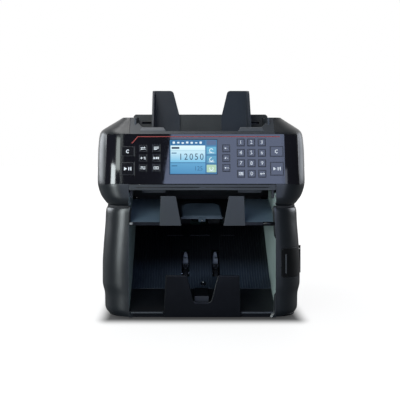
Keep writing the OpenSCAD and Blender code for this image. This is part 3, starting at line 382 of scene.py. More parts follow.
FINISHES = {made.name: made.mat for made in (
    moulded("body_plastic", (0.006, 0.0082, 0.0105), 0.33, edge=(0.06, 0.066, 0.074), specular=0.62),
    moulded("door_plastic", (0.003, 0.0035, 0.004), 0.30, edge=(0.16, 0.17, 0.18), specular=0.3),
    moulded("deck_plastic", (0.022, 0.027, 0.034), 0.40, edge=(0.09, 0.095, 0.10)),
    polished("gloss_panel", (0.005, 0.005, 0.008), 0.03, dull=(0.12, *PANEL_END)),
    polished("key_plastic", (0.007, 0.007, 0.010), 0.06),
    polished("display_glass", (0.004, 0.004, 0.006), 0.06),
    moulded("grey_plastic", (0.024, 0.027, 0.029), 0.38, edge=(0.14, 0.15, 0.15)),
    moulded("guide_plastic", (0.010, 0.0155, 0.025), 0.38, edge=(0.05, 0.055, 0.06)),
    moulded("black_plastic", (0.0015, 0.002, 0.0036), 0.22, edge=(0.10, 0.11, 0.115), specular=0.28),
    moulded("rear_plastic", (0.016, 0.0185, 0.022), 0.4, edge=(0.06, 0.066, 0.074)),
    moulded("pocket_plastic", (0.003, 0.0035, 0.005), 0.36, edge=(0.02, 0.024, 0.03)),
    shaded_back("back_plastic", (0.014, 0.020, 0.031), (0.002, 0.0025, 0.004)),
    tray_painted_light_and_shade("tray_plastic", (0.11, 0.155, 0.20), (0.004, 0.005, 0.007)),
    # Lighter than the deck: painted highlight of the rim's ledges.
    moulded("rim_strip", (0.055, 0.062, 0.072), 0.36, edge=(0.12, 0.125, 0.13)),
    coated_frame("frame_coat", (0.34, 0.43, 0.41), (0.004, 0.005, 0.006)),
    metal("steel", (0.60, 0.61, 0.62), 0.28, (0.2, 4, 4)),
    metal("motor_case", (0.40, 0.41, 0.43), 0.34, (0.2, 4, 4)),
    rubber("roller_rubber", (0.022, 0.022, 0.024)),
    moulded("wheel_plastic", (0.006, 0.007, 0.010), 0.42),
    finger_painted_light("wheel_face_painted_light", (0.20, 0.225, 0.28), (0.02, 0.022, 0.028)),
    moulded("gate_plastic", (0.05, 0.055, 0.06), 0.45, edge=(0.15, 0.16, 0.16)),
    moulded("nylon", (0.62, 0.60, 0.54), 0.45),
    moulded("door_pull", (0.05, 0.055, 0.062), 0.3, edge=(0.35, 0.37, 0.40)),
    shaded_back("rib_plastic", (0.022, 0.030, 0.043), (0.003, 0.0035, 0.0055)),
    moulded("lip_light", (0.22, 0.23, 0.23), 0.35),
    moulded("lip_bead", (0.05, 0.056, 0.062), 0.3),
    moulded("recess", (0.01, 0.01, 0.011), 0.6),
    polished("lens", (0.006, 0.007, 0.012), 0.05),
    polished("lens_bright", (0.42, 0.44, 0.45), 0.15),
    printed("key_print", (0.80, 0.81, 0.82)),
    printed("key_line", (0.035, 0.037, 0.042)),
    printed("key_line_dark", (0.012, 0.013, 0.018)),
    printed("accent", (0.30, 0.028, 0.018)),
    glowing("lcd_ground", (0.045, 0.19, 0.36), (0.03, 0.14, 0.30), (212, 264)),
    glowing("lcd_bar", (0.012, 0.13, 0.30)),
    glowing("lcd_main", (0.72, 0.92, 0.96), (0.16, 0.50, 0.74), (230, 252)),
    glowing("lcd_lower", (0.10, 0.35, 0.58), (0.05, 0.24, 0.46), (212, 229)),
    glowing("lcd_ink", (0.008, 0.03, 0.06)),
    glowing("lcd_dim", (0.02, 0.12, 0.24)),
    glowing("lcd_line", (0.20, 0.48, 0.62)),
    glowing("lcd_dusk", (0.075, 0.13, 0.24)),
    glowing("lcd_tile", (0.12, 0.42, 0.60), (0.04, 0.17, 0.30), (214, 252)),
    glowing("lcd_tile_warm", (0.42, 0.62, 0.42)),
    glowing("lcd_white", (0.72, 0.86, 0.92)),
    circuit_board("board", (0.015, 0.11, 0.045), (0.35, 0.36, 0.37)),
)}


def look(finish, body, slot=None):
    """What put needs to know of a piece: material and body it rides on. The CAD material slot that comes last
    is not used.
    """
    return FINISHES[finish], body, slot or finish


BLACK = look("black_plastic", "chassis")


# ---- Meshes ----


def add(name, data):
    """A new object in the scene."""
    made = bpy.data.objects.new(name, data)
    bpy.context.collection.objects.link(made)
    return made


def mesh_of(name, points, faces):
    """A clean mesh from points in millimetres, with its faces turned outwards."""
    mesh = bpy.data.meshes.new(name)
    mesh.from_pydata([Vector(p) * MM for p in points], [], faces)
    tidy = bmesh.new()
    tidy.from_mesh(mesh)
    bmesh.ops.remove_doubles(tidy, verts=tidy.verts, dist=1e-7)
    bmesh.ops.dissolve_degenerate(tidy, edges=tidy.edges, dist=1e-7)
    bmesh.ops.recalc_face_normals(tidy, faces=tidy.faces)
    tidy.to_mesh(mesh)
    tidy.free()
    return mesh


def put(name, points, faces, how, matrix=None, smooth=True):
    """A new piece from points in millimetres, with the look that how gives."""
    finish, body, slot = how
    mesh = mesh_of(name, [matrix @ Vector(p) for p in points] if matrix else points, faces)
    piece = add(name, mesh)
    if smooth:
        mesh.shade_smooth()
    mesh.materials.append(finish)
    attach(piece, body)
    return piece


def modifier(piece, kind, **values):
    made = piece.modifiers.new(kind.lower(), kind)
    for key, value in values.items():
        setattr(made, key, value)


def soften(piece, width, segments=2):
    """Rounds the sharp edges of a piece and evens out its shading."""
    modifier(piece, "BEVEL", width=width * MM, segments=segments, limit_method="ANGLE", angle_limit=SHARP,
             use_clamp_overlap=True, harden_normals=False, miter_outer="MITER_ARC")
    modifier(piece, "WEIGHTED_NORMAL", keep_sharp=False)


def thicken(piece, wall):
    """Gives a skin its wall, inwards."""
    modifier(piece, "SOLIDIFY", thickness=wall * MM, offset=-1)


def carve(piece, cutter, operation="DIFFERENCE"):
    """Cuts a piece with another mesh, which is then gone."""
    modifier(piece, "BOOLEAN", operation=operation, object=cutter, solver="EXACT")
    graph = bpy.context.evaluated_depsgraph_get()
    result = bpy.data.meshes.new_from_object(piece.evaluated_get(graph))
    piece.modifiers.clear()
    piece.data = result
    bpy.data.objects.remove(cutter)


def softened(points, radius, steps=5):
    """The polyline with each inner corner rounded off, over at most radius along its sides."""
    out = [Vector(points[0])]
    for a, b, c in zip(points, points[1:], points[2:]):
        a, b, c = Vector(a), Vector(b), Vector(c)
        reach = min(radius, (b - a).length * 0.48, (c - b).length * 0.48)
        start = b + (a - b).normalized() * reach
        stop = b + (c - b).normalized() * reach
        for i in range(steps + 1):
            t = i / steps
            out.append(start.lerp(b, t).lerp(b.lerp(stop, t), t))
    out.append(Vector(points[-1]))
    return out


def reader(points, radius):
    """A function of height that follows (value, height) points, with its corners rounded."""
    line = softened(points, radius)

    def value(z):
        for low, high in zip(line, line[1:]):
            if z <= high[1]:
                t = (z - low[1]) / max(high[1] - low[1], 1e-9)
                return low[0] + (high[0] - low[0]) * max(t, 0)
        return line[-1][0]

    return value


# Steps of half_outline: along the front, round each part of its corner, along the side, round
# the rear corner and along the back.
FRONT_STEPS, ARC_STEPS, SIDE_STEPS, REAR_STEPS, BACK_STEPS = 6, 12, 12, 14, 6


def half_outline(x_in, half, y0, y1, front_r, rear_r, marks=(), x_back=None):
    """Plan of one side, from the seam at the front round to the seam at the back.
    marks are angles on the front corner where the outline gets a double point."""
    x_back = x_back or x_in
    points = [(x_in + (half - front_r - x_in) * i / FRONT_STEPS, y0, 0, -1) for i in range(FRONT_STEPS)]
    stops = [0, *marks, 90]
    for a, b in zip(stops, stops[1:]):
        for i in range(ARC_STEPS + 1):
            t = radians(a + (b - a) * i / ARC_STEPS)
            points.append((half - front_r + front_r * sin(t), y0 + front_r - front_r * cos(t),
                           sin(t), -cos(t)))
    for i in range(1, SIDE_STEPS):
        points.append((half, y0 + front_r + (y1 - rear_r - y0 - front_r) * i / SIDE_STEPS, 1, 0))
    for i in range(REAR_STEPS + 1):
        t = radians(90 * i / REAR_STEPS)
        points.append((half - rear_r + rear_r * cos(t), y1 - rear_r + rear_r * sin(t),
                       cos(t), sin(t)))
    for i in range(1, BACK_STEPS + 1):
        points.append((half - rear_r + (x_back - half + rear_r) * i / BACK_STEPS, y1, 0, 1))
    return points


def around(n, closed=True):
    """Each of n places with the next one, and the last with the first if closed."""
    return [(i, (i + 1) % n) for i in range(n if closed else n - 1)]


def skin(rows, n, closed=True, loop=False, base=0):
    """Faces between rows of n points, whose numbers follow each other from base on. closed joins the
    ends of each row, and loop joins the last row to the first."""
    return [(base + low * n + i, base + low * n + j, base + high * n + j, base + high * n + i)
            for low, high in around(rows, loop) for i, j in around(n, closed)]


def tube(n):
    """Faces of a solid between two outlines of n corners each, listed one after the other."""
    return [tuple(range(n)), tuple(range(2 * n - 1, n - 1, -1))] + skin(2, n)


def loft(rings, side, loop=False):
    """Points and faces of a skin through rings, mirrored for the left side."""
    points = [(side * x, y, z) for ring in rings for x, y, z in ring]
    return points, skin(len(rings), len(rings[0]), closed=False, loop=loop)


def ring(outline, z, end=BACK_Y):
    """A plan at a height, as far back as end."""
    return [(x, y, z) for x, y, _, _ in outline if y < end]


def levels(low, high, step):
    """Even heights from low to high, about step apart."""
    count = max(1, round((high - low) / step))
    return [low + (high - low) * i / count for i in range(count + 1)]


def polar(r, turn):
    """Across and up to the point at distance r in the direction turn."""
    return r * cos(turn), r * sin(turn)


def cutter(points):
    """A solid to cut with, between two outlines of points in millimetres."""
    return add("cutter", mesh_of("cutter", points, tube(len(points) // 2)))


# ---- Shells ----


def fascia_y(z):
    """Front face of the tilted band at a height."""
    return FRONT_Y + (z - FASCIA_Z[0]) * tan(TILT)


def cheek_rings(half):
    """Sections of a cheek: waisted at the foot, chamfered to the crest, with a ledge for the fascia."""
    width = reader([(half - 16, HEAD_Z), (half - 13.3, HEAD_Z + 3), (half - 4.6, HEAD_Z + 14.7),
                    (half, HEAD_Z + 30), (half, 250), (half - 2, 276), (120, CREST_Z)], 8)
    front = reader([(FRONT_Y + 7, HEAD_Z), (FRONT_Y + 3.4, HEAD_Z + 2), (FRONT_Y + 0.5, HEAD_Z + 9),
                    (FRONT_Y, FASCIA_Z[0]), (fascia_y(FASCIA_Z[1]), FASCIA_Z[1]), (-108, CREST_Z)], 4)
    back = reader([(BACK_Y - 8, HEAD_Z), (BACK_Y, HEAD_Z + 10), (BACK_Y, 250), (BACK_Y - 7, 268),
                   (95, CREST_Z)], 8)
    corner = reader([(32, HEAD_Z), (HEAD_R, HEAD_Z + 20), (HEAD_R, FASCIA_Z[1] + 1), (14, CREST_Z)], 4)
    low, high = FASCIA_Z[0] - FASCIA_GAP, FASCIA_Z[1] + FASCIA_GAP
    heights = [(z, False) for z in levels(HEAD_Z, low, 1.6)]
    heights += [(z, True) for z in levels(low, high, 6)]
    heights += [(z, False) for z in levels(high, CREST_Z, 1.5)]
    mark = degrees(asin(min(1, (FASCIA_HALF + FASCIA_GAP - (half - HEAD_R)) / HEAD_R)))
    rings = []
    for z, ledge in heights:
        w = width(z)
        outline = half_outline(SEAM_X, w, front(z), back(z), min(corner(z), w - SEAM_X - 1),
                               min(30, w - SEAM_X - 2), [mark])
        insets = [FASCIA_ROOM if ledge and i <= FRONT_STEPS + ARC_STEPS else 0 for i in range(len(outline))]
        rings.append([(x - nx * inset, y - ny * inset, z) for (x, y, nx, ny), inset in zip(outline, insets)])
    return rings


def cheek(side, name, half):
    """Side of the head: a compound-curved shell with a flat crest, cut out for the hinge."""
    rings = cheek_rings(half)
    points, faces = loft(rings, side)
    faces.append(tuple(range(len(points) - len(rings[0]), len(points))))
    piece = put(name + "_shell", points, faces, look("body_plastic", "head"))
    thicken(piece, SHELL)
    (x0, y0, z0), (x1, y1, z1) = HINGE_CUT
    plan = ((side * x0, y0), (side * x1, y0), (side * x1, y1), (side * x0, y1))
    carve(piece, cutter([(x, y, z) for z in (z0, z1) for x, y in plan]))
    soften(piece, 0.5)
    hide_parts(name)


def cover_rings(half):
    """Sections of a lower side cover: a barrel with a plinth step and a rounded top edge."""
    width = reader([(half - 8, BODY_Z[0]), (half - 4, 11), (half - 3.5, 35), (half, 46), (half, 82),
                    (half - 2, 112), (half - 4.5, 142), (half - 5, BODY_Z[1])], 9)
    inset = reader([(4, BODY_Z[0]), (0, 9), (0, 154), (0.5, 159), (2.2, BODY_Z[1])], 3)
    rings = []
    for z in levels(*BODY_Z, 2.2):
        outline = half_outline(SEAM_X, width(z) - inset(z) * 0.6, BODY_Y[0] + inset(z) * 0.2,
                               BODY_Y[1] - inset(z) * 0.2, BODY_R, min(27, width(z) - REAR_HALF - 1),
                               x_back=REAR_HALF)
        rings.append(ring(outline, z))
    top = half_outline(SEAM_X, width(BODY_Z[1]) - 14, BODY_Y[0] + 13, BODY_Y[1] - 4, 25, 8,
                       x_back=REAR_HALF)
    return rings + [ring(top, BODY_Z[1])]


def collar(side, name):
    """Dark collar that stands in the gap under the head."""
    outline = half_outline(111.6, 138, -126, 140, 28, 10, x_back=127)
    skirt = loft([ring(outline, z, COLLAR_END) for z in (160.5, 173.0)], side)
    thicken(put(name + "_collar", *skirt, look("black_plastic", "chassis", "body_plastic")), 1.6)


def seal(side, name, half):
    """Rubber seal on top of the cover, from its section's (height, distance in from the cover)."""
    foot, top = BODY_Z[1] - 1, 166.1
    rings = []
    for z, draw in ((foot, 7), (foot, 2.6), (top - 0.9, 2.6), (top, 3.4), (top, 7)):
        outline = half_outline(SEAM_X, half - 5 - draw, BODY_Y[0] + draw, 140, BODY_R - draw, 8,
                               x_back=REAR_HALF)
        rings.append(ring(outline, z, COLLAR_END))
    points, faces = loft(rings, side, loop=True)
    count = len(rings[0])
    faces += [tuple(range(end, len(points), count)) for end in (0, count - 1)]
    put(name + "_seal", points, faces, look("roller_rubber", "chassis", "body_plastic"))


def side_cover(side, name, half):
    """Lower side cover, the right one with the port door's opening."""
    piece = put(name + "_shell", *loft(cover_rings(half), side), look("body_plastic", "chassis"))
    thicken(piece, SHELL)
    if side > 0:
        carve(piece, door_cutter(0))
    soften(piece, 0.4)
    collar(side, name)
    seal(side, name, half)
    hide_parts(name)


def door_cutter(gap):
    """Prism with rounded front corners, as wide as the port door's opening less gap."""
    x0, z0, z1, r = DOOR_X + gap, DOOR_Z[0] + gap, DOOR_Z[1] - gap, DOOR_R
    turns = [pi / 2 * i / 8 for i in range(9)]
    outline = [(x0 + r - r * cos(t), z0 + r - r * sin(t)) for t in reversed(turns)]
    outline += [(x0 + r - r * cos(t), z1 - r + r * sin(t)) for t in turns]
    outline += [(170, z1), (170, z0)]
    return cutter([(x, y, z) for y in (-160, DOOR_Y - gap) for x, z in outline])


def port_door(half):
    """Door over the ports: a rounded panel cut from the same surface, on a barrel hinge."""
    door = put("port_door_shell", *loft(cover_rings(half), 1), look("door_plastic", "door", "black_plastic"))
    thicken(door, 2.2)
    carve(door, door_cutter(DOOR_GAP), "INTERSECT")
    soften(door, 0.5)
    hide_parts("port_door")
    axis = Matrix.Translation((*DOOR_AXIS, 0))
    leaf = [(-3.4, 0.4), (0, -1.0), (0.4, 0.4), (-2.6, 1.6)]
    z0, z1 = DOOR_Z
    for name, body, low, high in (("hinge_low", "chassis", z0 + 1, z0 + 6),
                                  ("hinge_middle", "door", z0 + 6.6, z1 - 6.6),
                                  ("hinge_high", "chassis", z1 - 6, z1 - 1)):
        black = look("black_plastic", body)
        barrel = [(0.4, low), (0.65, low), (0.8, low + 0.2), (0.8, high - 0.2), (0.65, high), (0.4, high)]
        lathe("port_" + name, barrel, black, axis)
        prism("port_" + name + "_leaf", leaf, low + 0.3, high - 0.3, black, axis @ UPRIGHT)


def door_pull(half):
    """Raised upright grip on the door's curved corner, lighter than the door and with pale edges: painted
    highlight along it.
    """
    turn = asin((PULL_X - (half - BODY_R)) / BODY_R)
    spot = (half - BODY_R + BODY_R * sin(turn), BODY_Y[0] + BODY_R * (1 - cos(turn)), 0)
    place = Matrix.Translation(spot) @ Matrix.Rotation(turn, 4, "Z")
    outline = [(-0.9, 67.5), (-0.9, 94), (-0.5, 95), (0.5, 95), (0.9, 94), (0.9, 67.5), (0.5, 66.5),
               (-0.5, 66.5)]
    prism("door_pull", outline, -0.9, 0.8, look("door_pull", "door", "black_plastic"), place, edge=(0.4, 3))


# ---- Simple solids ----


def prism(name, outline, out0, out1, how, matrix=None, smooth=True, edge=None):
    """A solid from an outline in (x, z) of matrix, between two distances along -y.
    edge is the width and the segments of its rounded edges, if it has any."""
    points = [(x, -out, z) for out in (out0, out1) for x, z in outline]
    piece = put(name, points, tube(len(outline)), how, matrix, smooth)
    if edge:
        soften(piece, *edge)


def lathe(name, profile, how, matrix, steps=24):
    """A solid of revolution about z of matrix, from (radius, height) points.
    A profile that ends at the radius it starts from is closed along its bore, others get flat ends."""
    points = [(*polar(r, 2 * pi * i / steps), h) for r, h in profile for i in range(steps)]
    bored = profile[0][0] == profile[-1][0]
    faces = skin(len(profile), steps, loop=bored)
    if not bored:
        faces += [tuple(range(steps)), tuple(range(len(points) - steps, len(points)))]
    return put(name, points, faces, how, matrix)


def ring_plate(name, outer, inner, out0, out1, how, matrix):
    """A flat frame between two outlines with the same number of points."""
    rows = ((outer, out0), (inner, out0), (inner, out1), (outer, out1))
    points = [(x, -out, z) for line, out in rows for x, z in line]
    put(name, points, skin(4, len(outer), loop=True), how, matrix)


def rounded(x, z, half_w, half_h, r, steps=5):
    """A rectangle with round corners, as (x, z) points."""
    points = []
    for cx, cz, start in ((1, 1, 0), (-1, 1, 90), (-1, -1, 180), (1, -1, 270)):
        for i in range(steps + 1):
            px, pz = polar(r, radians(start + 90 * i / steps))
            points.append((x + cx * (half_w - r) + px, z + cz * (half_h - r) + pz))
    return points


def disc(x, z, r, steps=16):
    """A circle as an outline."""
    turns = [polar(r, 2 * pi * i / steps) for i in range(steps)]
    return [(x + px, z + pz) for px, pz in turns]


def bar(x0, z0, x1, z1, width):
    """A straight stroke as an outline."""
    a, b = Vector((x0, z0)), Vector((x1, z1))
    side = (b - a).normalized().orthogonal() * width / 2
    return [tuple(a + side), tuple(b + side), tuple(b - side), tuple(a - side)]


def dash(z, half, width):
    """A level stroke about the middle."""
    return bar(-half, z, half, z, width)


def arc_stroke(x, z, r, start, stop, width, steps=14):
    """A round stroke as an outline."""
    turns = [radians(start + (stop - start) * i / steps) for i in range(steps + 1)]
    stroke = [polar(r + width / 2, t) for t in turns] + [polar(r - width / 2, t) for t in reversed(turns)]
    return [(x + px, z + pz) for px, pz in stroke]


def number(name, text, size, x, z, out, thick, how, squeeze=1.0, spacing=1.0):
    """Plain digits, centred at (x, z) of the front panel."""
    curve = bpy.data.curves.new(name, "FONT")
    curve.body = text
    curve.size = size
    curve.align_x = "CENTER"
    curve.align_y = "CENTER"
    curve.extrude = thick / 2
    curve.resolution_u = 3
    curve.space_character = spacing
    temp = add(name + "_curve", curve)
    mesh = temp.to_mesh()
    points = [(x + v.co.x * squeeze, -out - thick / 2 - v.co.z, z + v.co.y) for v in mesh.vertices]
    faces = [tuple(f.vertices) for f in mesh.polygons]
    temp.to_mesh_clear()
    bpy.data.objects.remove(temp)
    return put(name, points, faces, how, FACE, smooth=False)


# ---- Front panel ----


def key_table():
    """Name, centre, width and height of each key, in the plane of the front panel."""
    rows = [(f"key_{kind}_{side}", sign * SIDE_KEY[0], z, SIDE_KEY[1], height)
            for side, sign in (("left", -1), ("right", 1))
            for kind, z, height in (("clear", 48.1, 15.0), ("start", 22.4, 19.5))]
    small = [(name, PAD_X + c * PAD_PITCH, PAD_Z) for name, c in (("menu", -1), ("0", 0), ("alt", 1))]
    for r in range(3):
        z = KEY_ROW[0] + (2 - r) * KEY_ROW[1]
        small += [(f"fn_{2 * r + 1}", FN_X[0], z), (f"fn_{2 * r + 2}", FN_X[1], z)]
        small += [(f"soft_{r + 1}", SOFT_X, z)]
        small += [(str(3 * r + c + 1), PAD_X + (c - 1) * PAD_PITCH, PAD_Z + (3 - r) * PAD_PITCH)
                  for c in range(3)]
    return rows + [("key_" + name, x, z, KEY, KEY) for name, x, z in small]


ICONS = {
    "key_fn_1": [bar(-3.6, 1.1, 2.0, 1.1, 0.9), [(1.6, 2.4), (3.8, 1.1), (1.6, -0.1)],
                 bar(3.6, -1.3, -2.0, -1.3, 0.9), [(-1.6, 0), (-3.8, -1.3), (-1.6, -2.5)]],
    "key_fn_2": [dash(1.7, 3.6, 0.9), dash(0, 3.6, 0.9), bar(-3.6, -1.7, 1.4, -1.7, 0.9)],
    "key_fn_3": [bar(-4, 0, -0.4, 0, 0.9), bar(-2.2, -1.8, -2.2, 1.8, 0.9), bar(1, 1.2, 4, 1.2, 0.9),
                 bar(1, -1.2, 4, -1.2, 0.9)],
    "key_fn_4": [rounded(x, 0, 1.0, 1.6, 0.3) for x in (-3, 0, 3)],
    "key_fn_5": [dash(1.3, 3.8, 0.7), disc(-1.2, 1.3, 1.1), dash(-1.3, 3.8, 0.7), disc(1.6, -1.3, 1.1)],
    "key_fn_6": [dash(-1.6, 3.4, 0.8), dash(1.6, 3.4, 0.8), bar(-3.4, -2, -3.4, 2, 0.8),
                 bar(3.4, -2, 3.4, 2, 0.8), dash(0, 1.8, 0.8)],
    "key_menu": [dash(z, 3.2, 0.9) for z in (1.6, 0, -1.6)],
    "key_alt": [[(-3.6, 0), (-1.4, 1.7), (-1.4, 0.6), (3.4, 0.6), (3.4, -0.6), (-1.4, -0.6), (-1.4, -1.7)]],
}


def icon(name):
    """Strokes of a key's picture, about its centre: generic signs only."""
    if name.startswith("key_clear"):
        return [arc_stroke(0, 0, 2.2, 50, 310, 1.2)]
    if name.startswith("key_start"):
        return [[(-5.4, -2.6), (-5.4, 2.6), (-1.0, 0)]] + [bar(x, -2.5, x, 2.5, 1.4) for x in (1.6, 4.6)]
    if name.startswith("key_soft"):
        dots = [disc(1 + 1.3 * i, 0, 0.5) for i in range(int(name[-1]))]
        return [[(-2.8, 0), (-0.6, 1.6), (-0.6, -1.6)]] + dots
    return ICONS.get(name, [])


def keys():
    """Outline and printed sign on each key, moving with it. The outline is painted light: a lighter line on
    the left-hand keys for their lit edges, a dimmer matt one on the others for the shade in their gaps.
    """
    low = KEY_PROUD - INK_SINK
    for name, x, z, w, h in key_table():
        body = "b_" + name
        line = look("key_line" if x < FN_X[1] / 2 else "key_line_dark", body, "key_plastic")
        ink = look("key_print", body, "key_plastic")
        outer = rounded(x, z, w / 2 - 0.5, h / 2 - 0.5, 0.9)
        inner = rounded(x, z, w / 2 - 0.95, h / 2 - 0.95, 0.5)
        ring_plate(name + "_outline", outer, inner, low, KEY_PROUD + 0.05, line, FACE)
        digit = name[4:]
        if digit.isdigit():
            number(name + "_sign", digit, 7.6, x, z, low, 0.09, ink)
        for i, stroke in enumerate(icon(name)):
            shifted = [(x + px, z + pz) for px, pz in stroke]
            prism(f"{name}_sign_{i + 1}", shifted, low, KEY_PROUD + 0.07, ink, FACE, smooth=False)


def accent_line():
    """Red line along the top of the panel, with its mitred bend at the left end."""
    w, low, high = 0.55, 60.8, 70.3
    upper = [(-104.5, low + w), (-103.4, low + w), (-95.5, high + w), (114.5, high + w)]
    lower = [(114.5, high - w), (-94.8, high - w), (-102.8, low - w), (-104.5, low - w)]
    red = look("accent", "head", "gloss_panel")
    prism("accent_line", upper + lower, -0.05, 0.06, red, FACE, smooth=False)


def screen():
    """Lit picture of the display: status bar, two number fields and a strip of tiles."""
    cx, cz, half_w, half_h = SCREEN
    left, foot = cx - half_w, cz - half_h
    top = SCREEN_OUT + 2 * LAYER

    def glass(finish):
        return look(finish, "head", "display_glass")

    def area(name, x0, z0, x1, z1, layer, finish, r=0.6):
        outline = rounded(left + (x0 + x1) / 2, foot + (z0 + z1) / 2, (x1 - x0) / 2, (z1 - z0) / 2, r)
        out = SCREEN_OUT + LAYER * layer
        prism("screen_" + name, outline, out, out + INK, glass(finish), FACE, smooth=False)

    area("ground", 0, 0, 69.2, 51.2, 0, "lcd_ground")
    area("bar", 1, 43.4, 52, 50.4, 1, "lcd_bar")
    area("main", 1, 17.6, 52, 42.6, 1, "lcd_main")
    area("lower", 1, 0.8, 52, 16.4, 1, "lcd_lower")
    area("label_dark", 2.5, 37.6, 14, 40.4, 2, "lcd_ink")
    area("label_line", 1, 34.4, 52, 35.0, 2, "lcd_line", 0.2)
    area("label_small", 2.5, 30.6, 10, 32.0, 2, "lcd_dim", 0.4)
    area("low_small", 2.5, 11.6, 11, 13.0, 2, "lcd_dim", 0.4)
    area("strip_top", 54, 43.4, 68.2, 50.4, 1, "lcd_dusk")
    for i in range(7):
        x = 4 + i * 6.6
        area(f"status_{i + 1}", x, 45.2 + (i % 2) * 0.5, x + 3.6, 48.6 - (i % 3) * 0.5, 2, "lcd_white", 0.9)
    number("screen_count", "12050", 13.5, left + 31.5, foot + 25.4, top, INK, glass("lcd_ink"), 0.88, 1.3)
    number("screen_batch", "125", 9.5, left + 42, foot + 8.2, top, INK, glass("lcd_dim"), 0.9)
    for i, tile in enumerate(("lcd_tile", "lcd_tile", "lcd_tile_warm")):
        z0 = 29.6 - i * 13.4
        area(f"tile_{i + 1}", 54, z0, 68.2, z0 + 11.2, 1, tile, 1.0)
        x, z = left + 61, foot + z0 + 5.6
        mark = arc_stroke(x, z, 2.6, 20 + 60 * i, 290 + 60 * i, 1.1)
        dash = bar(x - 4, z - 3.6, x + 4.4, z - 3.6, 0.8)
        for kind, stroke in (("mark", mark), ("dash", dash)):
            prism(f"screen_{kind}_{i + 1}", stroke, top, top + INK, glass("lcd_white"), FACE, smooth=False)


# ---- Pocket details ----


def stacker_ribs():
    """Fine upright ribs that keep notes from sticking to the back of the stacker."""
    spots = []
    for a, b in zip(STACK_LINE, STACK_LINE[1:]):
        along = (b - a).normalized()
        out = Vector((-along[1], along[0]))
        spots += [(a.lerp(b, 0.03), out), (a.lerp(b, 0.97), out)]
    points, faces = [], []
    for i in range(-26, 27):
        x = i * RIB_PITCH
        if abs(abs(x) - WHEEL[0]) < WHEEL[4] / 2 + 3:
            continue
        start = len(points)
        for (y, z), out in spots:
            points += [(x - 0.7, y, z), (x, y + out[0] * 0.6, z + out[1] * 0.6), (x + 0.7, y, z)]
        faces += skin(4, 3, base=start)
        faces += [(start, start + 1, start + 2), (start + 9, start + 10, start + 11)]
    put("stacker_ribs", points, faces, look("rib_plastic", "chassis", "black_plastic"), smooth=False)


def wheel_fingers(name, side):
    """Tapered, swept-back fingers of one wheel, with a painted highlight on the faces that lead as it turns.
    """
    x0, y0, z0, radius, width = WHEEL
    root, steps = HUB_R - 1.5, 9
    points, faces = [], []
    for i in range(FINGERS):
        base = len(points)
        for j in range(steps + 1):
            t = j / steps
            r = root + (radius - root) * t
            half_w = width / 2 * (1 - 0.75 * t ** 3.4)
            turn = radians(360 / FINGERS * i + 38 * t * t)
            thick = radians((6 - 3.5 * t) * HUB_R / r)
            for edge, w in ((-1, -1), (-1, 1), (1, 1), (1, -1)):
                py, pz = polar(r, turn + edge * thick)
                points.append((side * x0 + w * half_w, y0 + py, z0 + pz))
        faces += skin(steps + 1, 4, base=base)
        faces += [tuple(range(base, base + 4)), tuple(range(len(points) - 4, len(points)))]
    fingers = put(name, points, faces, look("wheel_plastic", "wheel_shaft"))
    # Leading faces get the pale finish: painted highlight.
    fingers.data.materials.append(FINISHES["wheel_face_painted_light"])
    for polygon in fingers.data.polygons:
        out = polygon.center - Vector((0, y0 * MM, z0 * MM))
        if polygon.normal.dot(Vector((0, -out.z, out.y)).normalized()) > 0.45:
            polygon.material_index = 1
    soften(fingers, 0.3)


def wheels():
    """Stacker wheels on their shaft, with its pulley."""
    plastic = look("wheel_plastic", "wheel_shaft")
    x0, y0, z0, _, width = WHEEL
    half = width / 2
    hub = [(3.05, -half), (7.6, -half), (HUB_R, -half + 0.8), (HUB_R, half - 0.8), (7.6, half), (3.05, half)]
    for side, name in ((-1, "wheel_left"), (1, "wheel_right")):
        wheel_fingers(name + "_fingers", side)
        lathe(name + "_hub", hub, plastic, Matrix.Translation((side * x0, y0, z0)) @ TO_X, 36)
    place = Matrix.Translation((0, y0, z0)) @ TO_X
    low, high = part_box("stacker_wheels")
    x_low, x_high = low[0] / MM, high[0] / MM
    shaft = [(2.4, x_low), (3.0, x_low + 0.6), (3.0, 113.8), (2.7, 113.9), (2.7, x_high - 0.6), (2.4, x_high)]
    rod = lathe("wheel_shaft_rod", shaft, look("steel", "wheel_shaft", "wheel_plastic"), place, 28)
    pulley = [(3.05, 114), (14, 114), (14, 114.9), (13.4, 115.2), (13.4, 118.1), (14, 118.4), (14, 119.2),
              (3.05, 119.2)]
    lathe("wheel_pulley", pulley, look("nylon", "wheel_shaft", "wheel_plastic"), place, 40)
    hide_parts("stacker_wheels")


def lens(name, spot, out, radius, finish="lens_bright", ring="black_plastic"):
    """A small round sensor window in a raised ring, facing out. Its default pale glass is a painted glint."""
    place = Matrix.Translation(spot) @ Vector(out).to_track_quat("Z", "Y").to_matrix().to_4x4()
    bezel = [(radius * 0.72, -0.8), (radius * 1.15, -0.8), (radius * 1.15, 0.5), (radius * 0.95, 0.9),
             (radius * 0.72, 0.7)]
    lathe(name + "_ring", bezel, look(ring, "chassis"), place)
    dome = [(radius * 0.74, -0.8)]
    for turn in (0, 20, 40, 60, 80):
        t = radians(turn)
        dome.append((radius * 0.74 * cos(t), 0.9 * sin(t)))
    lathe(name + "_glass", dome, look(finish, "chassis", ring), place)


def sensors():
    """Sensor windows of both pockets: stacker, reject tray and side walls."""
    y, z = STACK_LINE[0].lerp(STACK_LINE[1], 0.38)
    lens("stack_sensor", (3.2, y, z), (0, -0.52, 0.85), 3.8, "lens")
    # A tiny pale dome beside the stacker's sensor: painted glint on its window.
    lens("stack_sensor_glint", (3.2, y + 0.5, z + 2.3), (0, -0.7, 0.7), 1.5)
    lens("tray_sensor", (0, BODY_Y[0] + 18.6, TRAY_Z + 0.6), (0, -1, 0.1), 1.2)
    for side, tag in SIDES:
        for z in (180.0, 169.5):
            spot = (side * 106.9, -133.5, z)
            lens(f"wall_sensor_{tag}_{round(z)}", spot, (-side, -0.8, 0), 0.9, ring="steel")


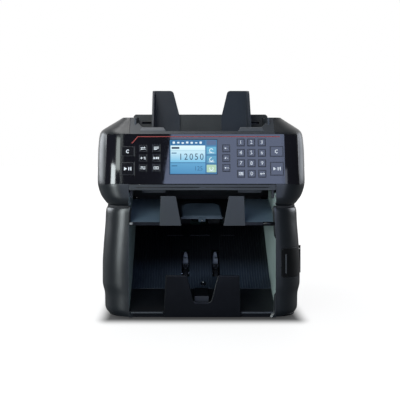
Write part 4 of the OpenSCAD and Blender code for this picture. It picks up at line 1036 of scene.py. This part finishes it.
def back_beads():
    """Three long beads across the top of the stacker's back."""
    low, high = STACK_LINE[1:]
    along = (high - low).normalized()
    lean = Matrix.Rotation(atan2(along[1], along[0]) - pi / 2, 4, "X")
    for i, (x, half) in enumerate(((-41, 14), (0, 17), (46, 12))):
        place = Matrix.Translation((x, *low.lerp(high, 0.78))) @ lean
        prism(f"back_bead_{i + 1}", rounded(0, 0, half, 0.8, 0.75), -0.5, 0.9,
              look("rib_plastic", "chassis", "black_plastic"), place, edge=(0.4, 2))


def tray_lip():
    """Dark nosing along the reject tray's front edge beside the tongue, and the pins at its ends."""
    x0, x1 = TRAY_LIP
    for side, tag in SIDES:
        outline = rounded(side * (x0 + x1) / 2, TRAY_Z - 2.5, (x1 - x0) / 2, 2.5, 0.7)
        prism("tray_nose_" + tag, outline, -BODY_Y[0] - 0.4, -BODY_Y[0] + 0.8, BLACK, edge=(0.5, 3))
    place = Matrix.Translation((0, BODY_Y[0] - 0.6, TRAY_Z - 2.4)) @ TO_X
    for name, finish, r, x0, x1 in (("left", "lip_light", 1.9, -107, -101.5),
                                    ("right", "black_plastic", 3.0, 88.5, 106.6)):
        lathe("lip_end_" + name, [(r * 0.6, x0), (r, x0 + 1), (r, x1 - 1), (r * 0.6, x1)],
              look(finish, "chassis", "black_plastic"), place)


def slots_and_beads():
    """Slots in the lip under the panel, beads on the base's front edge, and baffles behind the frames."""
    for side, tag in SIDES:
        # The slots are dark strips set into the lip: painted shade in the slits.
        prism("lip_slot_" + tag, rounded(side * 51, LIP_SLOT_Z, 47, 0.55, 0.5), 143.6, 144.35,
              look("recess", "head", "grey_plastic"))
        # The beads are lighter than the black base: painted highlight along its front edge.
        prism("base_bead_" + tag, rounded(side * 82.4, 9.3, 24.6, 0.8, 0.7), 139.7, 140.6,
              look("lip_bead", "chassis", "black_plastic"), edge=(0.4, 3))
        outline = [(side * x, z) for x, z in ((111.4, 150), (136.6, 150), (136.6, 170), (134, 172.8),
                                              (111.4, 172.8))]
        prism("neck_baffle_" + tag, outline, -109.4, -108.2, BLACK, edge=(0.3, 2))


def rim_strips():
    """Mouldings over the front edge of the rim's two ledges, with slanted inner ends, lighter than the deck:
    painted highlight along the ledges.
    """
    section = [(-127.6, RIM_FOOT_Z), (-128.0, 276.6), (-124.4, 281.3), (-123.2, 281.9), (-117.0, 281.9),
               (-117.0, 281.1), (-122.8, 281.0)]
    for side, tag in SIDES:
        points = []
        for x_top, x_low in ((57.5, 53.5), (89.5, 92.0)):
            for y, z in section:
                points.append((side * (x_low + (x_top - x_low) * (z - RIM_FOOT_Z) / 6), y, z))
        strip = put("rim_strip_" + tag, points, tube(len(section)), look("rim_strip", "head", "body_plastic"))
        soften(strip, 0.5, 3)


def screw_slots():
    """Cross recesses in the heads of the rear screws, as flat dark marks: painted shade in place of cut
    hollows.
    """
    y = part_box("fasteners")[1][1] / MM
    slot = [(-2, -0.35), (2, -0.35), (2, 0.35), (-2, 0.35)]
    for i, z in enumerate(SCREW_Z):
        for side, tag in SIDES:
            for k, turn in enumerate((20, 110)):
                place = Matrix.Translation((side * SCREW_X, y, z))
                place @= Matrix.Rotation(radians(turn + 9 * i), 4, "Y")
                prism(f"screw_{i + 1}_{tag}_{k + 1}", slot, 0.02, -0.05, look("recess", "chassis", "steel"),
                      place, smooth=False)


# ---- Carried-over CAD nodes ----

# Nodes whose look is not simply that of their material slot.
SPECIAL = {"hopper_deck": "deck_plastic", "stacker_back": "back_plastic", "stacker_floor": "pocket_plastic",
           "base_pan": "black_plastic", "rear_cover": "rear_plastic", "reject_tray": "tray_plastic",
           "front_stop": "black_plastic", "head_pan": "grey_plastic"}
EDGE = 0.25
STOP_EDGE = 1.3


def keep_flat(node):
    """The panel's face mirrors the studio, so it is shaded as one exact plane."""
    facing = FACE.to_3x3() @ Vector((0, -1, 0))
    for polygon in node.data.polygons:
        polygon.use_smooth = polygon.normal.dot(facing) < 0.9998
    custom = node.data.attributes.get("custom_normal")
    if custom:
        node.data.attributes.remove(custom)


def dress(name, finish, edge):
    """Gives a CAD node its finish and rounded edges."""
    node = frame["nodes"][name]
    node.data.materials.clear()
    node.data.materials.append(FINISHES[finish])
    for polygon in node.data.polygons:
        polygon.material_index = 0
        polygon.use_smooth = True
    modifier(node, "WELD", merge_threshold=0.000005)
    if name == "fascia":
        keep_flat(node)
        modifier(node, "BEVEL", width=edge * MM, segments=2, limit_method="ANGLE", angle_limit=SHARP)
    else:
        soften(node, edge)


def dress_all():
    for entry in frame["record"]["subparts"]:
        name = entry["node"]
        dress(name, SPECIAL.get(name, entry["material_slot"]), STOP_EDGE if name == "front_stop" else EDGE)


# ---- Stage ----


def off_footprint(made):
    """Distance outside the machine's footprint, counted 1.7 times across, where its shade is narrower."""
    away = made.vector("ABSOLUTE", made.place)
    outside = made.vector("SUBTRACT", away, tuple(half * MM for half in FOOTPRINT))
    outside = made.vector("MAXIMUM", outside, (0, 0, 0))
    return made.vector("LENGTH", made.vector("MULTIPLY", outside, (1.7, 1, 0)), output="Value")


def stage():
    """Floor that the camera sees white away from the machine, with a painted contact shadow round its
    footprint: its colour darkens and its glow fades there. Other rays see plain pale grey."""
    mesh = bpy.data.meshes.new("floor")
    mesh.from_pydata([(-8, -8, 0), (8, -8, 0), (8, 8, 0), (-8, 8, 0)], [], [(0, 1, 2, 3)])
    made = Finish("floor_white", (0.14, 0.14, 0.14), 0.6, specular=0.1)
    made.mottle(400, 0.02)
    far = made.ramp(made.vector("LENGTH", made.place, output="Value"), 0.86, 1.0, 0.30, 1.2)
    # Painted contact shadow: darker and without glow near the footprint.
    clear = made.ramp(off_footprint(made), 0, 1, -0.012, 0.048, "SMOOTHERSTEP")
    made.tint(made.math("SUBTRACT", 1, clear), (0.05, 0.05, 0.05))
    seen = made.node("ShaderNodeLightPath").outputs["Is Camera Ray"]
    made.plug(made.math("MULTIPLY", made.math("MULTIPLY", far, seen), clear), "Emission Strength")
    made.set("Emission Color", (1, 1, 1, 1))
    mesh.materials.append(made.mat)
    add("floor", mesh)


# Name, place, aim, size, radiance, colour and roll of each lamp: two softboxes at the left, two bluish
# cards in front that the panel and the right side mirror, one lamp above, and one at each side behind.
LAMPS = (
    ("softbox_left", (-0.45, -1.285, 0.76), (-0.10, -0.14, 0.22), (0.44, 0.80), 4.8, (0.90, 1.0, 0.97), 0),
    ("softbox_side", (-0.84, -1.10, 0.25), (-0.12, -0.14, 0.2), (0.42, 0.46), 13.0, (0.90, 0.98, 1.0), 0),
    ("card_front", (0.115, -1.5, 0.53), (0.04, -0.14, 0.23), (0.43, 0.96), 3.2, (0.56, 0.67, 1.0), -9),
    ("card_low", (0.42, -1.32, 0.20), (0.12, -0.14, 0.15), (0.30, 0.40), 2.0, (0.74, 0.82, 1.0), 0),
    ("top", (-0.30, -0.22, 1.3), (-0.05, -0.08, 0.1), (0.7, 0.4), 4.5, (1, 1, 1), 0),
    ("side_left", (-1.15, 0.32, 0.50), (-0.1, -0.1, 0.22), (0.75, 0.6), 5.0, (0.88, 0.94, 1.0), 0),
    ("side_right", (1.15, 0.32, 0.50), (0.1, -0.1, 0.22), (0.75, 0.6), 3.0, (0.84, 0.90, 1.0), 0),
)


def lights():
    """Rectangular lamps of even brightness, which the camera does not see."""
    for name, place, aim, size, radiance, colour, roll in LAMPS:
        data = bpy.data.lights.new(name, "AREA")
        data.shape = "RECTANGLE"
        data.size, data.size_y = size
        data.energy = radiance * pi * size[0] * size[1]
        data.color = colour
        lamp = add(name, data)
        lamp.location = place
        facing = (Vector(aim) - Vector(place)).to_track_quat("-Z", "Y").to_matrix()
        lamp.rotation_euler = (facing @ Matrix.Rotation(radians(roll), 3, "Z")).to_euler()
        lamp.visible_camera = False


def camera():
    """Looks straight along +Y from left of the middle, level with the display."""
    data = bpy.data.cameras.new("camera")
    data.sensor_width = 36
    data.lens = 67.8
    data.shift_x = 0.0475
    data.shift_y = -0.135
    cam = add("camera", data)
    cam.location = (-0.0313, -1.245, 0.254)
    cam.rotation_euler = (radians(90), 0, 0)
    bpy.context.scene.camera = cam


def world():
    """A white studio: bright behind the machine, dim in front of it, and white to the camera."""
    studio = bpy.data.worlds.new("studio")
    made = Graph(studio, "Generated")
    depth = made.ramp(made.along("Y"), 0.05, 0.9, -0.2, 0.5)
    seen = made.node("ShaderNodeLightPath").outputs["Is Camera Ray"]
    back = made.nodes["Background"]
    made.links.new(made.math("MAXIMUM", depth, seen), back.inputs["Strength"])
    back.inputs["Color"].default_value = (1, 1, 1, 1)
    bpy.context.scene.world = studio


# ---- The scene ----

dress_all()
for side, name in ((-1, "left"), (1, "right")):
    cheek(side, "cheek_" + name, HEAD_HALF[name])
    side_cover(side, "side_cover_" + name, BODY_HALF[name])
port_door(BODY_HALF["right"])
door_pull(BODY_HALF["right"])
keys()
accent_line()
screen()
stacker_ribs()
wheels()
sensors()
back_beads()
tray_lip()
slots_and_beads()
rim_strips()
screw_slots()
stage()
lights()
world()
camera()
bpy.context.scene.view_settings.view_transform = "Standard"
